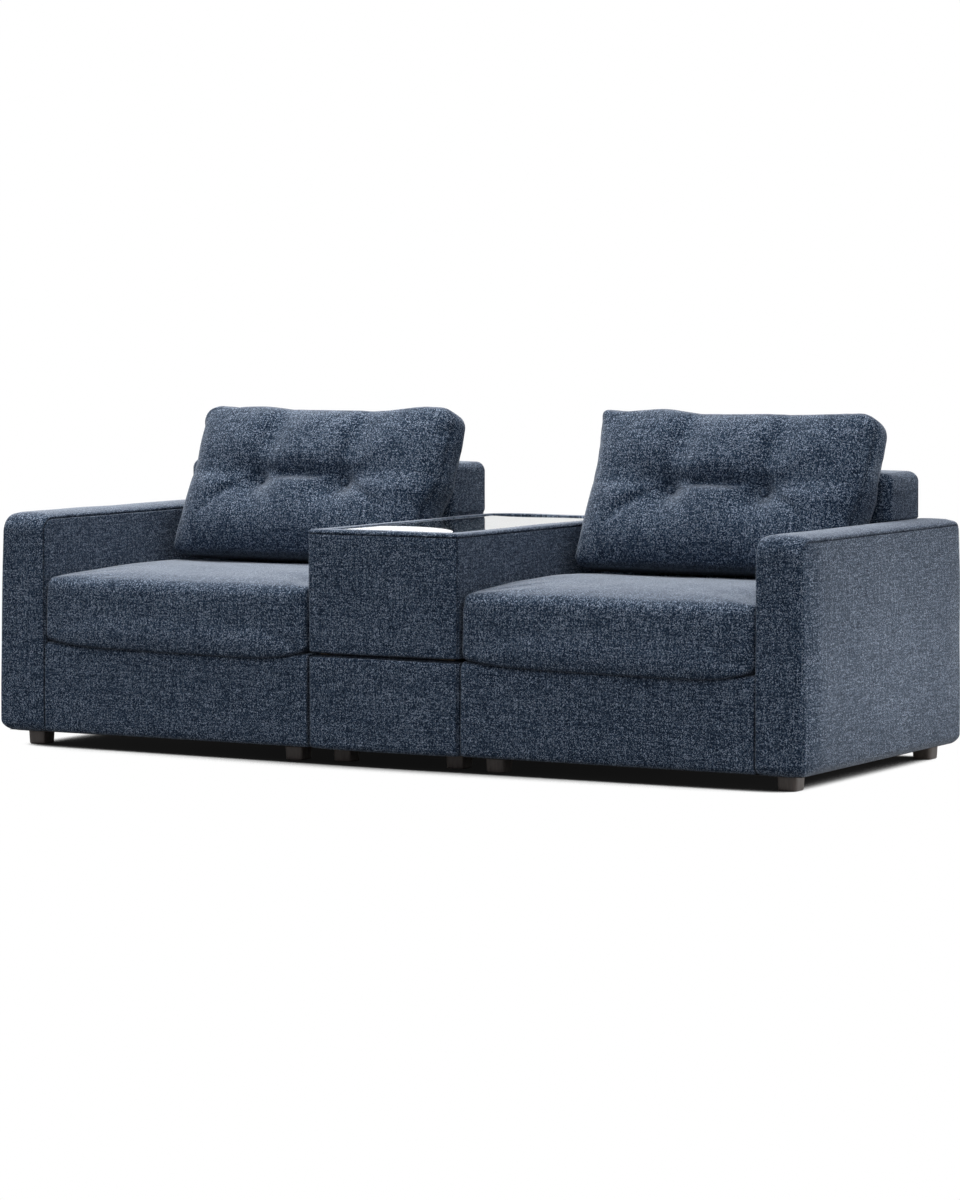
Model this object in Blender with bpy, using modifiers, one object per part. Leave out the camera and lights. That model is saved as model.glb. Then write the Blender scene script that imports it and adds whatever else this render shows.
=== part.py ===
"""Modular sofa: two upholstered armchair modules hooked to a console with a glass top."""

import math
from functools import partial

import bmesh
import bpy
import numpy as np
from mathutils import Matrix, Vector

# Module sizes, in metres; +X is the viewer's right, +Y the back, +Z up
CHAIR_WIDTH = 0.969
CONSOLE_WIDTH = 0.450
MODULE_GAP = 0.006
DEPTH = 0.958
FIT = 0.0003  # gap left between pieces that touch
MERGE = 0.00001

# Legs and the cloth stapled under each module
LEG_HEIGHT = 0.040
LEG_TOP = 0.056
LEG_FOOT = 0.049
LEG_EDGE = 0.004
LEG_SIDE_INSET = 0.044
LEG_FRONT_INSET = 0.050
LEG_REAR_INSET = 0.024
CONSOLE_LEG_SIDE_INSET = 0.027
CONSOLE_LEG_FRONT_INSET = 0.076
CONSOLE_LEG_REAR_INSET = 0.050
DUST_CLOTH = 0.0014
DUST_INSET = 0.012

# Padded covers, with heights measured from the bottom of the covers
PAD = 0.024
SEAM_RADIUS = 0.008
SEAM_SHARE = 0.8  # most of a cover's smallest bend that its seam may round
ARM_WIDTH = 0.137
ARM_HEIGHT = 0.580
ARM_FRONT_RADIUS = 0.045
ARM_TOE_RADIUS = 0.026
ARM_REAR_RADIUS = 0.018
BASE_HEIGHT = 0.245
BASE_LIP_RADIUS = 0.016
BACK_HEIGHT = 0.715
BACK_THICKNESS = 0.201
BACK_TOP_RADIUS = 0.028
HEM_RADIUS = 0.012
CONSOLE_BOX_HEIGHT = 0.325
CONSOLE_EDGE_RADIUS = 0.014

# Timber frames and springs
RAIL = 0.045
BOARD = 0.022
CORNER_BLOCK = 0.075
CARCASS_WALL = 0.015
SPRING_ROWS = 4
SPRING_BENDS = 14
SPRING_SWING = 0.050
SPRING_WIRE = 0.0040
SPRING_ARCH = 0.022
TIE_WIRE = 0.0030
TIE_OVERHANG = 0.020

# Glass top
GLASS_BORDER = 0.040
GLASS_THICKNESS = 0.006
GLASS_DROP = 0.0015
GLASS_EDGE = 0.001

# Seat cushion
SEAT_BOXING = 0.160
SEAT_CROWN = 0.045
SEAT_SIDE_GAP = 0.002
SEAT_REAR_GAP = 0.006
SEAT_BULGE = 0.005
SEAT_DRAW_IN = 0.005
SEAT_COLUMNS = 14
SEAT_ROWS = 12

# Back cushion
LEAN = math.radians(23)
PILLOW_SLACK = 0.016  # how much narrower it is than the seat
PILLOW_TAPER = 0.022  # how much narrower it is below, between arm and console
PILLOW_HEIGHT = 0.460
PILLOW_BOXING = 0.070
PILLOW_FRONT_CROWN = 0.072
PILLOW_REAR_CROWN = 0.026
PILLOW_BULGE = 0.006
PILLOW_DRAW_IN = 0.006
FOOT_SHIFT = {"left": 0.012, "right": 0.002}  # how far to the right each one stands
SLOUCH = {"left": 0.026, "right": 0.016}  # how far its top leans on from there
PILLOW_COLUMNS = 24
PILLOW_ROWS = 14
TUFT_SPAN = 0.276
TUFT_COLUMN = 1 / 3  # grid line that a tuft is drawn to
TUFT_DROP = 0.018
TUFT_DEPTH = 0.058
TUFT_REACH = 0.050
TUFT_FLAT = 1.5  # reach of a tuft's flat floor, in button seats
CREASE_DEPTH = 0.024
CREASE_REACH = 0.030
BUTTON_RADIUS = 0.012
BUTTON_HEIGHT = 0.009
BUTTON_MARGIN = 0.004

# Hooks that hold the modules side by side
HOOK_STEEL = 0.003
HOOK_WIDTH = 0.060
HOOK_LENGTH = 0.060
HOOK_SETBACK = 0.014
HOOK_LIP = 0.012
HOOK_PLAY = 0.0005
HOOK_INSET = 0.229

# Positions worked out from the sizes above
BOTTOM = LEG_HEIGHT + DUST_CLOTH + 2 * FIT
FRONT = -DEPTH / 2
REAR = DEPTH / 2
BACK_FACE = REAR - BACK_THICKNESS
DECK = BOTTOM + BASE_HEIGHT
BACK_TOP = BOTTOM + BACK_HEIGHT
INNER = CONSOLE_WIDTH / 2 + MODULE_GAP
OUTER = INNER + CHAIR_WIDTH
SEAT_SPACE = CHAIR_WIDTH - ARM_WIDTH
SEAT_MIDDLE = INNER + SEAT_SPACE / 2
SEAT_WIDTH = SEAT_SPACE - 2 * SEAT_SIDE_GAP
PILLOW_WIDTH = SEAT_SPACE - PILLOW_SLACK
SEAT_DEPTH = BACK_FACE - FRONT - SEAT_REAR_GAP
SEAT_CENTRE_Y = FRONT + SEAT_DEPTH / 2

PLANES = {
    "XY": Matrix.Identity(4),
    "XZ": Matrix(((1, 0, 0, 0), (0, 0, -1, 0), (0, 1, 0, 0), (0, 0, 0, 1))),
    "YZ": Matrix(((0, 0, 1, 0), (1, 0, 0, 0), (0, 1, 0, 0), (0, 0, 0, 1))),
}

for old in list(bpy.data.objects):
    bpy.data.objects.remove(old)

PARTS = bpy.data.collections.new("modular_sofa_with_console")
CUTTERS = bpy.data.collections.new("cutters")
bpy.context.scene.collection.children.link(PARTS)
bpy.context.scene.collection.children.link(CUTTERS)


def material(name, colour, roughness, metallic=0.0):
    look = bpy.data.materials.new(name)
    look.use_nodes = True
    shader = look.node_tree.nodes["Principled BSDF"]
    shader.inputs["Base Color"].default_value = (*colour, 1.0)
    shader.inputs["Roughness"].default_value = roughness
    shader.inputs["Metallic"].default_value = metallic
    return look


FABRIC = material("navy_tweed", (0.045, 0.060, 0.092), 0.9)
TIMBER = material("frame_timber", (0.52, 0.38, 0.22), 0.7)
LEG_WOOD = material("dark_leg_wood", (0.040, 0.033, 0.030), 0.5)
SPRING_STEEL = material("spring_steel", (0.30, 0.30, 0.31), 0.4, 1.0)
HOOK_METAL = material("black_bracket_steel", (0.03, 0.03, 0.03), 0.5, 0.6)
DUST_BLACK = material("black_dust_cloth", (0.012, 0.012, 0.013), 0.95)
BED_BLACK = material("dark_bed_board", (0.020, 0.022, 0.026), 0.6)
GLASS = material("clear_glass", (0.75, 0.80, 0.82), 0.05)


def pivot(name, place, parent=None):
    """Empty that a module or a cushion hangs on, at its joint."""
    empty = bpy.data.objects.new(name, None)
    PARTS.objects.link(empty)
    empty.parent = parent
    start = parent.matrix_world.translation if parent else Vector()
    empty.location = Vector(place) - start
    bpy.context.view_layer.update()
    return empty


def part(name, mesh, look, place, parent, turn=0.0):
    """Named piece at a place in the room, turned about X, carried by a pivot."""
    mesh.materials.append(look)
    piece = bpy.data.objects.new(name, mesh)
    PARTS.objects.link(piece)
    piece.parent = parent
    piece.location = Vector(place) - parent.matrix_world.translation
    piece.rotation_euler.x = turn
    return piece


def carve(piece, mesh, place, operation="DIFFERENCE"):
    """Cut a hidden shape out of a piece, or join it on."""
    tool = bpy.data.objects.new(piece.name + "_tool", mesh)
    CUTTERS.objects.link(tool)
    tool.location = place
    tool.hide_render = True
    tool.display_type = "WIRE"
    cut = piece.modifiers.new("carve", "BOOLEAN")
    cut.object = tool
    cut.operation = operation
    cut.solver = "EXACT"


def soften(piece, radius, segments=2):
    edge = piece.modifiers.new("soften", "BEVEL")
    edge.width = radius
    edge.segments = segments
    edge.limit_method = "ANGLE"
    edge.angle_limit = math.radians(50)


def box(size):
    """Mesh of a box centred on its origin."""
    shape = bmesh.new()
    bmesh.ops.create_cube(shape, size=1.0)
    bmesh.ops.scale(shape, vec=size, verts=shape.verts)
    mesh = bpy.data.meshes.new("box")
    shape.to_mesh(mesh)
    shape.free()
    return mesh


def rectangle(low, high, bottom, top, radii):
    """Corners of a rectangle with their radii, from the low bottom corner round."""
    places = ((low, bottom), (high, bottom), (high, top), (low, top))
    return [(x, y, radius) for (x, y), radius in zip(places, radii)]


def rounded(corners, steps=5):
    """Closed outline whose corners are arcs; one step makes each a chamfer."""
    points = []
    for index, (x, y, radius) in enumerate(corners):
        if radius == 0:
            points.append((x, y))
            continue
        corner = Vector((x, y))
        before = (Vector(corners[index - 1][:2]) - corner).normalized()
        after = (Vector(corners[(index + 1) % len(corners)][:2]) - corner).normalized()
        half = before.angle(after) / 2
        centre = corner + (before + after).normalized() * radius / math.sin(half)
        reach = radius / math.tan(half)
        start = corner + before * reach - centre
        end = corner + after * reach - centre
        first = math.atan2(start.y, start.x)
        sweep = math.remainder(math.atan2(end.y, end.x) - first, math.tau)
        for step in range(steps + 1):
            angle = first + sweep * step / steps
            points.append((centre.x + radius * math.cos(angle), centre.y + radius * math.sin(angle)))
    return points


def curve_mesh(curve, turn):
    """Welded mesh of a curve's evaluated shape, turned into its plane."""
    drawn = bpy.data.objects.new(curve.name, curve)
    CUTTERS.objects.link(drawn)
    evaluated = drawn.evaluated_get(bpy.context.evaluated_depsgraph_get())
    mesh = bpy.data.meshes.new_from_object(evaluated)
    bpy.data.objects.remove(drawn)
    shape = bmesh.new()
    shape.from_mesh(mesh)
    bmesh.ops.remove_doubles(shape, verts=shape.verts, dist=MERGE)
    bmesh.ops.dissolve_limit(
        shape, angle_limit=math.radians(1), verts=shape.verts, edges=shape.edges
    )
    bmesh.ops.transform(shape, matrix=turn, verts=shape.verts)
    bmesh.ops.recalc_face_normals(shape, faces=shape.faces)
    shape.to_mesh(mesh)
    shape.free()
    return mesh


def extruded(loops, width, plane):
    """Flat outline, with any holes, drawn in a plane and extruded evenly to both sides of it."""
    curve = bpy.data.curves.new("outline", "CURVE")
    curve.dimensions = "2D"
    curve.fill_mode = "BOTH"
    curve.extrude = width / 2
    for loop in loops:
        spline = curve.splines.new("POLY")
        spline.points.add(len(loop) - 1)
        spline.use_cyclic_u = True
        for point, (x, y) in zip(spline.points, loop):
            point.co = (x, y, 0, 1)
    return curve_mesh(curve, PLANES[plane])


def wire(points, thickness):
    """Round wire along straight runs, with closed ends."""
    curve = bpy.data.curves.new("wire", "CURVE")
    curve.dimensions = "3D"
    curve.bevel_depth = thickness / 2
    curve.bevel_resolution = 1
    curve.use_fill_caps = True
    spline = curve.splines.new("POLY")
    spline.points.add(len(points) - 1)
    for point, place in zip(spline.points, points):
        point.co = (*place, 1)
    return curve_mesh(curve, PLANES["XY"])


def inner_radii(radii):
    """Corner radii of the room inside a cover, square where the padding takes up the curve."""
    return [max(radius - PAD, 0) for radius in radii]


def padded_cover(name, width, depth, height, radii, place, parent):
    """Padded cover: a soft-edged box over its frame, open below."""
    front, rear = -depth / 2, depth / 2
    outside = rounded(rectangle(front, rear, 0, height, radii))
    cover = part(name, extruded([outside], width, "YZ"), FABRIC, place, parent)
    soften(cover, min(SEAM_RADIUS, SEAM_SHARE * min(radii)))
    room = rectangle(front + PAD, rear - PAD, -PAD, height - PAD, inner_radii(radii))
    carve(cover, extruded([rounded(room)], width - 2 * PAD, "YZ"), place)
    return cover


def ring_frame(name, width, depth, height, place, parent):
    """Timber rails on edge round a cover's room, with chamfered blocks in the corners."""
    across = width / 2 - PAD - FIT
    along = depth / 2 - PAD - FIT
    outside = rectangle(-across, across, -along, along, [0] * 4)
    inside = rectangle(
        BOARD - across, across - BOARD, BOARD - along, along - BOARD, [CORNER_BLOCK] * 4
    )
    loops = [rounded(outside, 1), rounded(inside, 1)]
    middle = (place[0], place[1], place[2] + height / 2)
    part(name, extruded(loops, height, "XY"), TIMBER, middle, parent)


def legs(prefix, left, right, side_inset, front_inset, rear_inset, parent):
    """Four tapered block legs under a module."""
    shape = bmesh.new()
    bmesh.ops.create_cone(
        shape,
        cap_ends=True,
        segments=4,
        radius1=LEG_FOOT / math.sqrt(2),
        radius2=LEG_TOP / math.sqrt(2),
        depth=LEG_HEIGHT,
    )
    bmesh.ops.rotate(shape, matrix=Matrix.Rotation(math.radians(45), 3, "Z"), verts=shape.verts)
    mesh = bpy.data.meshes.new("leg")
    shape.to_mesh(mesh)
    shape.free()
    reach = LEG_TOP / 2
    columns = {"left": left + side_inset + reach, "right": right - side_inset - reach}
    rows = {"front": FRONT + front_inset + reach, "rear": REAR - rear_inset - reach}
    for row, y in rows.items():
        for column, x in columns.items():
            name = f"{prefix}_leg_{row}_{column}"
            leg = part(name, mesh.copy(), LEG_WOOD, (x, y, LEG_HEIGHT / 2), parent)
            soften(leg, LEG_EDGE)


def dust_cover(name, left, right, parent):
    size = (right - left - 2 * DUST_INSET, DEPTH - 2 * DUST_INSET, DUST_CLOTH)
    place = ((left + right) / 2, 0, LEG_HEIGHT + FIT + DUST_CLOTH / 2)
    part(name, box(size), DUST_BLACK, place, parent)


def spring_unit(name, x, parent):
    """Rows of sinuous wire from the front rail to the rear rail, tied across by two straight wires."""
    base_depth = BACK_FACE - FIT - FRONT
    length = base_depth - 2 * PAD - BOARD
    centre_y = FRONT + base_depth / 2
    span = SEAT_SPACE - 2 * (PAD + BOARD) - SPRING_SWING
    pitch = length / SPRING_BENDS
    swing = SPRING_SWING / 2
    row_places = [x - span / 2 + span * (row + 0.5) / SPRING_ROWS for row in range(SPRING_ROWS)]

    def rise(y):
        return SPRING_ARCH * (1 - (2 * y / length) ** 2)

    route = []
    for bend in range(SPRING_BENDS + 1):
        y = -length / 2 + bend * pitch
        side = 1 if bend % 2 else -1
        route.append((side * swing, y, rise(y)))
        route.append((-side * swing, y, rise(y)))

    level = BOTTOM + rail_height() + FIT + SPRING_WIRE / 2
    unit = None
    for tie in (SPRING_BENDS // 3, SPRING_BENDS - SPRING_BENDS // 3 - 1):
        low = -length / 2 + tie * pitch
        height = (rise(low) + rise(low + pitch)) / 2
        reach = span / 2 - span / SPRING_ROWS / 2 + swing + TIE_OVERHANG
        run = wire([(-reach, 0, 0), (reach, 0, 0)], TIE_WIRE)
        place = (x, centre_y + low + pitch / 2, level + height)
        if unit is None:
            unit = part(name, run, SPRING_STEEL, place, parent)
            for row_x in row_places:
                carve(unit, wire(route, SPRING_WIRE), (row_x, centre_y, level), "UNION")
        else:
            carve(unit, run, place, "UNION")


def rail_height():
    """Height of the base rails, which leaves room for the springs under the deck."""
    return BASE_HEIGHT - PAD - SPRING_ARCH - SPRING_WIRE - 2 * FIT


def swell(a, b):
    """Crown of a stuffed panel, full in the middle and gone at its seams."""
    return (1 - a**4) * (1 - b**4)


def round_plan(a, b, width, depth):
    """Plan of the seat cushion, whose corners are drawn in."""
    across = a * (width / 2 - SEAT_DRAW_IN * b**6)
    along = b * (depth / 2 - SEAT_DRAW_IN * a**6)
    return across, along


def slouched_plan(a, b, width, height, slouch):
    """Plan of the back cushion: narrower below, its corners drawn in, its top leaning aside."""
    across = a * (width - PILLOW_TAPER * (1 - b) / 2) / 2 + slouch * (1 + b) / 2
    along = b * (height / 2 - PILLOW_DRAW_IN * a**6)
    return across, along


def seat_points(a, b, c):
    """Seat cushion: a, b and c run from -1 to 1 across, front to back and bottom to top."""
    width = SEAT_WIDTH - 2 * SEAT_BULGE
    depth = SEAT_DEPTH - 2 * SEAT_BULGE
    x, y = round_plan(a, b, width, depth)
    boxing = SEAT_BULGE * (1 - c**2)
    x = x + np.where(np.abs(a) == 1, np.sign(a), 0) * boxing
    y = y + np.where(np.abs(b) == 1, np.sign(b), 0) * boxing
    z = (c + 1) / 2 * (SEAT_BOXING + SEAT_CROWN * swell(a, b))
    return np.stack((x, y, z), axis=-1)


def seat_top(x, y):
    """Height of the seat cushion's top above a place on the floor, or nothing beside it."""
    a = (x - SEAT_MIDDLE) / (SEAT_WIDTH / 2)
    b = (y - SEAT_CENTRE_Y) / (SEAT_DEPTH / 2)
    top = DECK + FIT + SEAT_BOXING + SEAT_CROWN * swell(a, b)
    return np.where((np.abs(a) < 1) & (np.abs(b) < 1), top, 0)


def tuft_pull(x, z):
    """How far the buttons and the creases that run from them draw the front in."""
    floor = TUFT_FLAT * button_seat()
    pull = np.zeros_like(x)
    for button_x in (-TUFT_SPAN / 2, TUFT_SPAN / 2):
        away = np.maximum(np.hypot(x - button_x, z + TUFT_DROP) - floor, 0)
        pull = np.maximum(pull, TUFT_DEPTH * np.exp(-((away / TUFT_REACH) ** 2)))
        upright = np.exp(-(((x - button_x) / CREASE_REACH) ** 2))
        pull = np.maximum(pull, CREASE_DEPTH * upright)
    between = np.maximum(np.abs(x) - TUFT_SPAN / 2, 0)
    level = np.exp(-(((z + TUFT_DROP) / CREASE_REACH) ** 2) - (between / TUFT_REACH) ** 2)
    return np.maximum(pull, CREASE_DEPTH * level)


def button_seat():
    """Half width of the flat that a button sits on."""
    return BUTTON_RADIUS + BUTTON_MARGIN


def pillow_points(a, b, c, slouch=0.0):
    """Back cushion: a, b and c run from -1 to 1 across, bottom to top and rear to front."""
    width = PILLOW_WIDTH - 2 * PILLOW_BULGE
    height = PILLOW_HEIGHT - 2 * PILLOW_BULGE
    column, row = 2 / PILLOW_COLUMNS, 2 / PILLOW_ROWS
    line, tuft, seat = TUFT_COLUMN, TUFT_SPAN / 2, button_seat()
    a_marks = [-1, -line - column, -line, column - line, line - column, line, line + column, 1]
    x_marks = [-width / 2, -tuft - seat, -tuft, seat - tuft, tuft - seat, tuft, tuft + seat, width / 2]
    a = np.interp(a, a_marks, x_marks) / (width / 2)
    z_marks = [-height / 2, -TUFT_DROP - seat, -TUFT_DROP, seat - TUFT_DROP, height / 2]
    b = np.interp(b, [-1, -row, 0, row, 1], z_marks) / (height / 2)
    x, z = slouched_plan(a, b, width, height, slouch)
    boxing = PILLOW_BULGE * (1 - c**2)
    x = x + np.where(np.abs(a) == 1, np.sign(a), 0) * boxing
    z = z + np.where(np.abs(b) == 1, np.sign(b), 0) * boxing
    crown = swell(a, b)
    pull = tuft_pull(a * width / 2, b * height / 2)
    front = PILLOW_BOXING / 2 + (PILLOW_FRONT_CROWN - pull) * crown
    rear = PILLOW_BOXING / 2 + PILLOW_REAR_CROWN * crown
    y = (1 - c) / 2 * rear - (1 + c) / 2 * front
    return np.stack((x, y, z), axis=-1)


def cushion(shape_points, columns, rows):
    """Mesh of a box cut into a fine grid and swollen into a cushion."""
    shape = bmesh.new()
    bmesh.ops.create_cube(shape, size=2.0)
    for axis, cuts in ((0, columns - 1), (1, rows - 1), (2, 1)):
        runs = [
            edge
            for edge in shape.edges
            if abs(edge.verts[0].co[axis] - edge.verts[1].co[axis]) > 1
        ]
        bmesh.ops.subdivide_edges(shape, edges=runs, cuts=cuts, use_grid_fill=True)
    mesh = bpy.data.meshes.new("cushion")
    grid = np.array([vert.co for vert in shape.verts]).round(6)
    for vert, place in zip(shape.verts, shape_points(*grid.T)):
        vert.co = place
    bmesh.ops.recalc_face_normals(shape, faces=shape.faces)
    shape.to_mesh(mesh)
    shape.free()
    mesh.shade_smooth()
    mesh.set_sharp_from_angle(angle=math.radians(40))
    return mesh


def leaned(points):
    """Points of the back cushion after it leans back."""
    x, y, z = points[..., 0], points[..., 1], points[..., 2]
    return x, y * math.cos(LEAN) + z * math.sin(LEAN), z * math.cos(LEAN) - y * math.sin(LEAN)


def back_face(z):
    """Depth of the back's front face at a height, round its top edge and open above it."""
    over = np.clip(z - (BACK_TOP - BACK_TOP_RADIUS), 0, BACK_TOP_RADIUS)
    face = BACK_FACE + BACK_TOP_RADIUS - np.sqrt(BACK_TOP_RADIUS**2 - over**2)
    return np.where(z < BACK_TOP, face, DEPTH)


def settle_pillow():
    """Place where the leaning cushion rests on the seat cushion and against the back."""
    a, b, c = np.meshgrid(np.linspace(-1, 1, 41), np.linspace(-1, 1, 181), (-1, 0, 1))
    x, y, z = leaned(pillow_points(a, b, c))
    back, lift = 0.0, DECK + SEAT_BOXING + PILLOW_HEIGHT / 2
    for _ in range(40):
        back = np.min(back_face(z + lift) - FIT - y)
        lift = np.max(seat_top(x + SEAT_MIDDLE, y + back) + FIT - z)
    return float(back), float(lift)


def tuft_buttons(prefix, place, parent):
    """Two covered buttons, each a flattened ball on its flat in the cushion's front."""
    shape = bmesh.new()
    bmesh.ops.create_uvsphere(shape, u_segments=12, v_segments=6, radius=1.0)
    bmesh.ops.scale(shape, vec=(BUTTON_RADIUS, BUTTON_RADIUS, BUTTON_HEIGHT / 2), verts=shape.verts)
    bmesh.ops.rotate(shape, matrix=Matrix.Rotation(math.radians(90), 3, "X"), verts=shape.verts)
    mesh = bpy.data.meshes.new("button")
    shape.to_mesh(mesh)
    shape.free()
    mesh.shade_smooth()
    lines = np.array((-TUFT_COLUMN, TUFT_COLUMN))
    seats = pillow_points(lines, np.zeros(2), np.ones(2), SLOUCH[prefix])
    seats[:, 1] -= FIT + BUTTON_HEIGHT / 2
    for column, dx, dy, dz in zip(("left", "right"), *leaned(seats)):
        spot = Vector(place) + Vector((dx, dy, dz))
        part(f"{prefix}_tuft_button_{column}", mesh.copy(), FABRIC, spot, parent, -LEAN)


def connector(name, outline, y, parent):
    """Bent steel plate, drawn from the side and extruded to its width."""
    part(name, extruded([outline], HOOK_WIDTH, "XZ"), HOOK_METAL, (0, y, LEG_HEIGHT), parent)


def chair_hook(side):
    """Plate under the chair's inner edge with its end turned down."""
    start = INNER + HOOK_SETBACK
    end = start + HOOK_LENGTH
    steel, low = -HOOK_STEEL, -HOOK_STEEL - HOOK_LIP
    lip = start + HOOK_STEEL
    shape = [(start, 0), (end, 0), (end, steel), (lip, steel), (lip, low), (start, low)]
    return [(side * x, z) for x, z in shape]


def console_catch(side):
    """Plate under the console's edge, stepped down past the chair's hook, with its end turned up."""
    root = CONSOLE_WIDTH / 2 - HOOK_SETBACK
    start = root - HOOK_LENGTH
    end = INNER + HOOK_SETBACK + 2 * HOOK_STEEL + HOOK_PLAY
    low = -HOOK_STEEL - HOOK_LIP - HOOK_PLAY
    top = -HOOK_STEEL - HOOK_PLAY
    under = low - HOOK_STEEL
    shape = [(start, 0), (root, 0), (root, low), (end - HOOK_STEEL, low), (end - HOOK_STEEL, top)]
    shape += [(end, top), (end, under), (root - HOOK_STEEL, under)]
    shape += [(root - HOOK_STEEL, -HOOK_STEEL), (start, -HOOK_STEEL)]
    return [(side * x, z) for x, z in shape]


HOOK_ROWS = {"front": FRONT + HOOK_INSET, "rear": REAR - HOOK_INSET}


def arm(prefix, side, parent):
    place = (side * (OUTER - ARM_WIDTH / 2), 0, BOTTOM)
    radii = (ARM_TOE_RADIUS, HEM_RADIUS, ARM_REAR_RADIUS, ARM_FRONT_RADIUS)
    padded_cover(f"{prefix}_arm_cover", ARM_WIDTH, DEPTH, ARM_HEIGHT, radii, place, parent)
    room = PAD + FIT
    rail = room + RAIL
    bends = inner_radii(radii)
    outside = rectangle(FRONT + room, REAR - room, 0, ARM_HEIGHT - room, bends)
    inside = rectangle(FRONT + rail, REAR - rail, RAIL, ARM_HEIGHT - rail, bends)
    loops = [rounded(outside), rounded(inside)]
    mesh = extruded(loops, ARM_WIDTH - 2 * room, "YZ")
    part(f"{prefix}_arm_frame", mesh, TIMBER, place, parent)


def back(prefix, side, parent):
    width = SEAT_SPACE - FIT
    x = side * (SEAT_MIDDLE - FIT / 2)
    place = (x, REAR - BACK_THICKNESS / 2, BOTTOM)
    radii = (HEM_RADIUS, HEM_RADIUS, BACK_TOP_RADIUS, BACK_TOP_RADIUS)
    cover = f"{prefix}_back_cover"
    padded_cover(cover, width, BACK_THICKNESS, BACK_HEIGHT, radii, place, parent)
    across = width / 2 - PAD - FIT
    top = BACK_HEIGHT - PAD - FIT
    square = [0] * 4
    outside = rectangle(-across, across, 0, top, square)
    clear = across - RAIL
    lower = rectangle(-clear, clear, RAIL, BASE_HEIGHT, square)
    upper = rectangle(-clear, clear, BASE_HEIGHT + RAIL, top - RAIL, square)
    loops = [rounded(loop) for loop in (outside, lower, upper)]
    depth = BACK_THICKNESS - 2 * (PAD + BACK_TOP_RADIUS)
    part(f"{prefix}_back_frame", extruded(loops, depth, "XZ"), TIMBER, place, parent)


def base(prefix, side, parent):
    width = SEAT_SPACE - FIT
    depth = BACK_FACE - FIT - FRONT
    place = (side * (SEAT_MIDDLE - FIT / 2), FRONT + depth / 2, BOTTOM)
    radii = (HEM_RADIUS, HEM_RADIUS, HEM_RADIUS, BASE_LIP_RADIUS)
    padded_cover(f"{prefix}_base_cover", width, depth, BASE_HEIGHT, radii, place, parent)
    ring_frame(f"{prefix}_base_frame", width, depth, rail_height(), place, parent)
    spring_unit(f"{prefix}_spring_unit", place[0], parent)


def chair(prefix, side, root):
    lift = pivot(f"{prefix}_chair_lift", (side * INNER, 0, BOTTOM), root)
    arm(prefix, side, lift)
    back(prefix, side, lift)
    base(prefix, side, lift)
    left, right = sorted((side * INNER, side * OUTER))
    dust_cover(f"{prefix}_dust_cover", left, right, lift)
    legs(prefix, left, right, LEG_SIDE_INSET, LEG_FRONT_INSET, LEG_REAR_INSET, lift)
    for row, y in HOOK_ROWS.items():
        connector(f"{prefix}_hook_{row}", chair_hook(side), y, lift)

    x = side * SEAT_MIDDLE
    seat_place = (x, SEAT_CENTRE_Y, DECK + FIT)
    slide = pivot(f"{prefix}_seat_slide", seat_place, lift)
    seat = cushion(seat_points, SEAT_COLUMNS, SEAT_ROWS)
    part(f"{prefix}_seat_cushion", seat, FABRIC, seat_place, slide)

    pillow_place = (x + FOOT_SHIFT[prefix], *settle_pillow())
    rise = pivot(f"{prefix}_pillow_lift", pillow_place, lift)
    shape = partial(pillow_points, slouch=SLOUCH[prefix])
    pillow = cushion(shape, PILLOW_COLUMNS, PILLOW_ROWS)
    part(f"{prefix}_back_cushion", pillow, FABRIC, pillow_place, rise, -LEAN)
    tuft_buttons(prefix, pillow_place, rise)


def console(root):
    half = CONSOLE_WIDTH / 2
    radii = (HEM_RADIUS, HEM_RADIUS, CONSOLE_EDGE_RADIUS, CONSOLE_EDGE_RADIUS)
    foot = (0, 0, BOTTOM)
    padded_cover("console_base_cover", CONSOLE_WIDTH, DEPTH, BASE_HEIGHT, radii, foot, root)
    ring_frame("console_base_frame", CONSOLE_WIDTH, DEPTH, BASE_HEIGHT - PAD - FIT, foot, root)
    console_box(root)
    dust_cover("console_dust_cover", -half, half, root)
    insets = (CONSOLE_LEG_SIDE_INSET, CONSOLE_LEG_FRONT_INSET, CONSOLE_LEG_REAR_INSET)
    legs("console", -half, half, *insets, root)
    for prefix, side in (("left", -1), ("right", 1)):
        for row, y in HOOK_ROWS.items():
            connector(f"console_catch_{prefix}_{row}", console_catch(side), y, root)


def console_box(root):
    """Upper box of the console with its carcass, and the glass let into its padded top."""
    place = (0, 0, DECK + FIT)
    radii = [CONSOLE_EDGE_RADIUS] * 4
    cover = padded_cover(
        "console_box_cover", CONSOLE_WIDTH, DEPTH, CONSOLE_BOX_HEIGHT, radii, place, root
    )
    opening = (CONSOLE_WIDTH - 2 * GLASS_BORDER, DEPTH - 2 * GLASS_BORDER)
    top = place[2] + CONSOLE_BOX_HEIGHT
    carve(cover, box((*opening, 4 * PAD)), (0, 0, top))

    room = PAD + FIT
    height = CONSOLE_BOX_HEIGHT - room
    size = (CONSOLE_WIDTH - 2 * room, DEPTH - 2 * room, height)
    middle = (0, 0, place[2] + height / 2)
    carcass = part("console_carcass", box(size), TIMBER, middle, root)
    inside = [side - 2 * CARCASS_WALL for side in size]
    carve(carcass, box(inside), (0, 0, middle[2] - 2 * CARCASS_WALL))

    plan = [side - 2 * FIT for side in opening]
    glass_top = top - GLASS_DROP
    glass_foot = glass_top - GLASS_THICKNESS
    bed_foot = place[2] + height + FIT
    bed_height = glass_foot - FIT - bed_foot
    bed = box((*plan, bed_height))
    part("console_glass_bed", bed, BED_BLACK, (0, 0, bed_foot + bed_height / 2), root)
    sheet = box((*plan, GLASS_THICKNESS))
    glass = part("console_glass_top", sheet, GLASS, (0, 0, glass_top - GLASS_THICKNESS / 2), root)
    soften(glass, GLASS_EDGE, 1)


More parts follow.
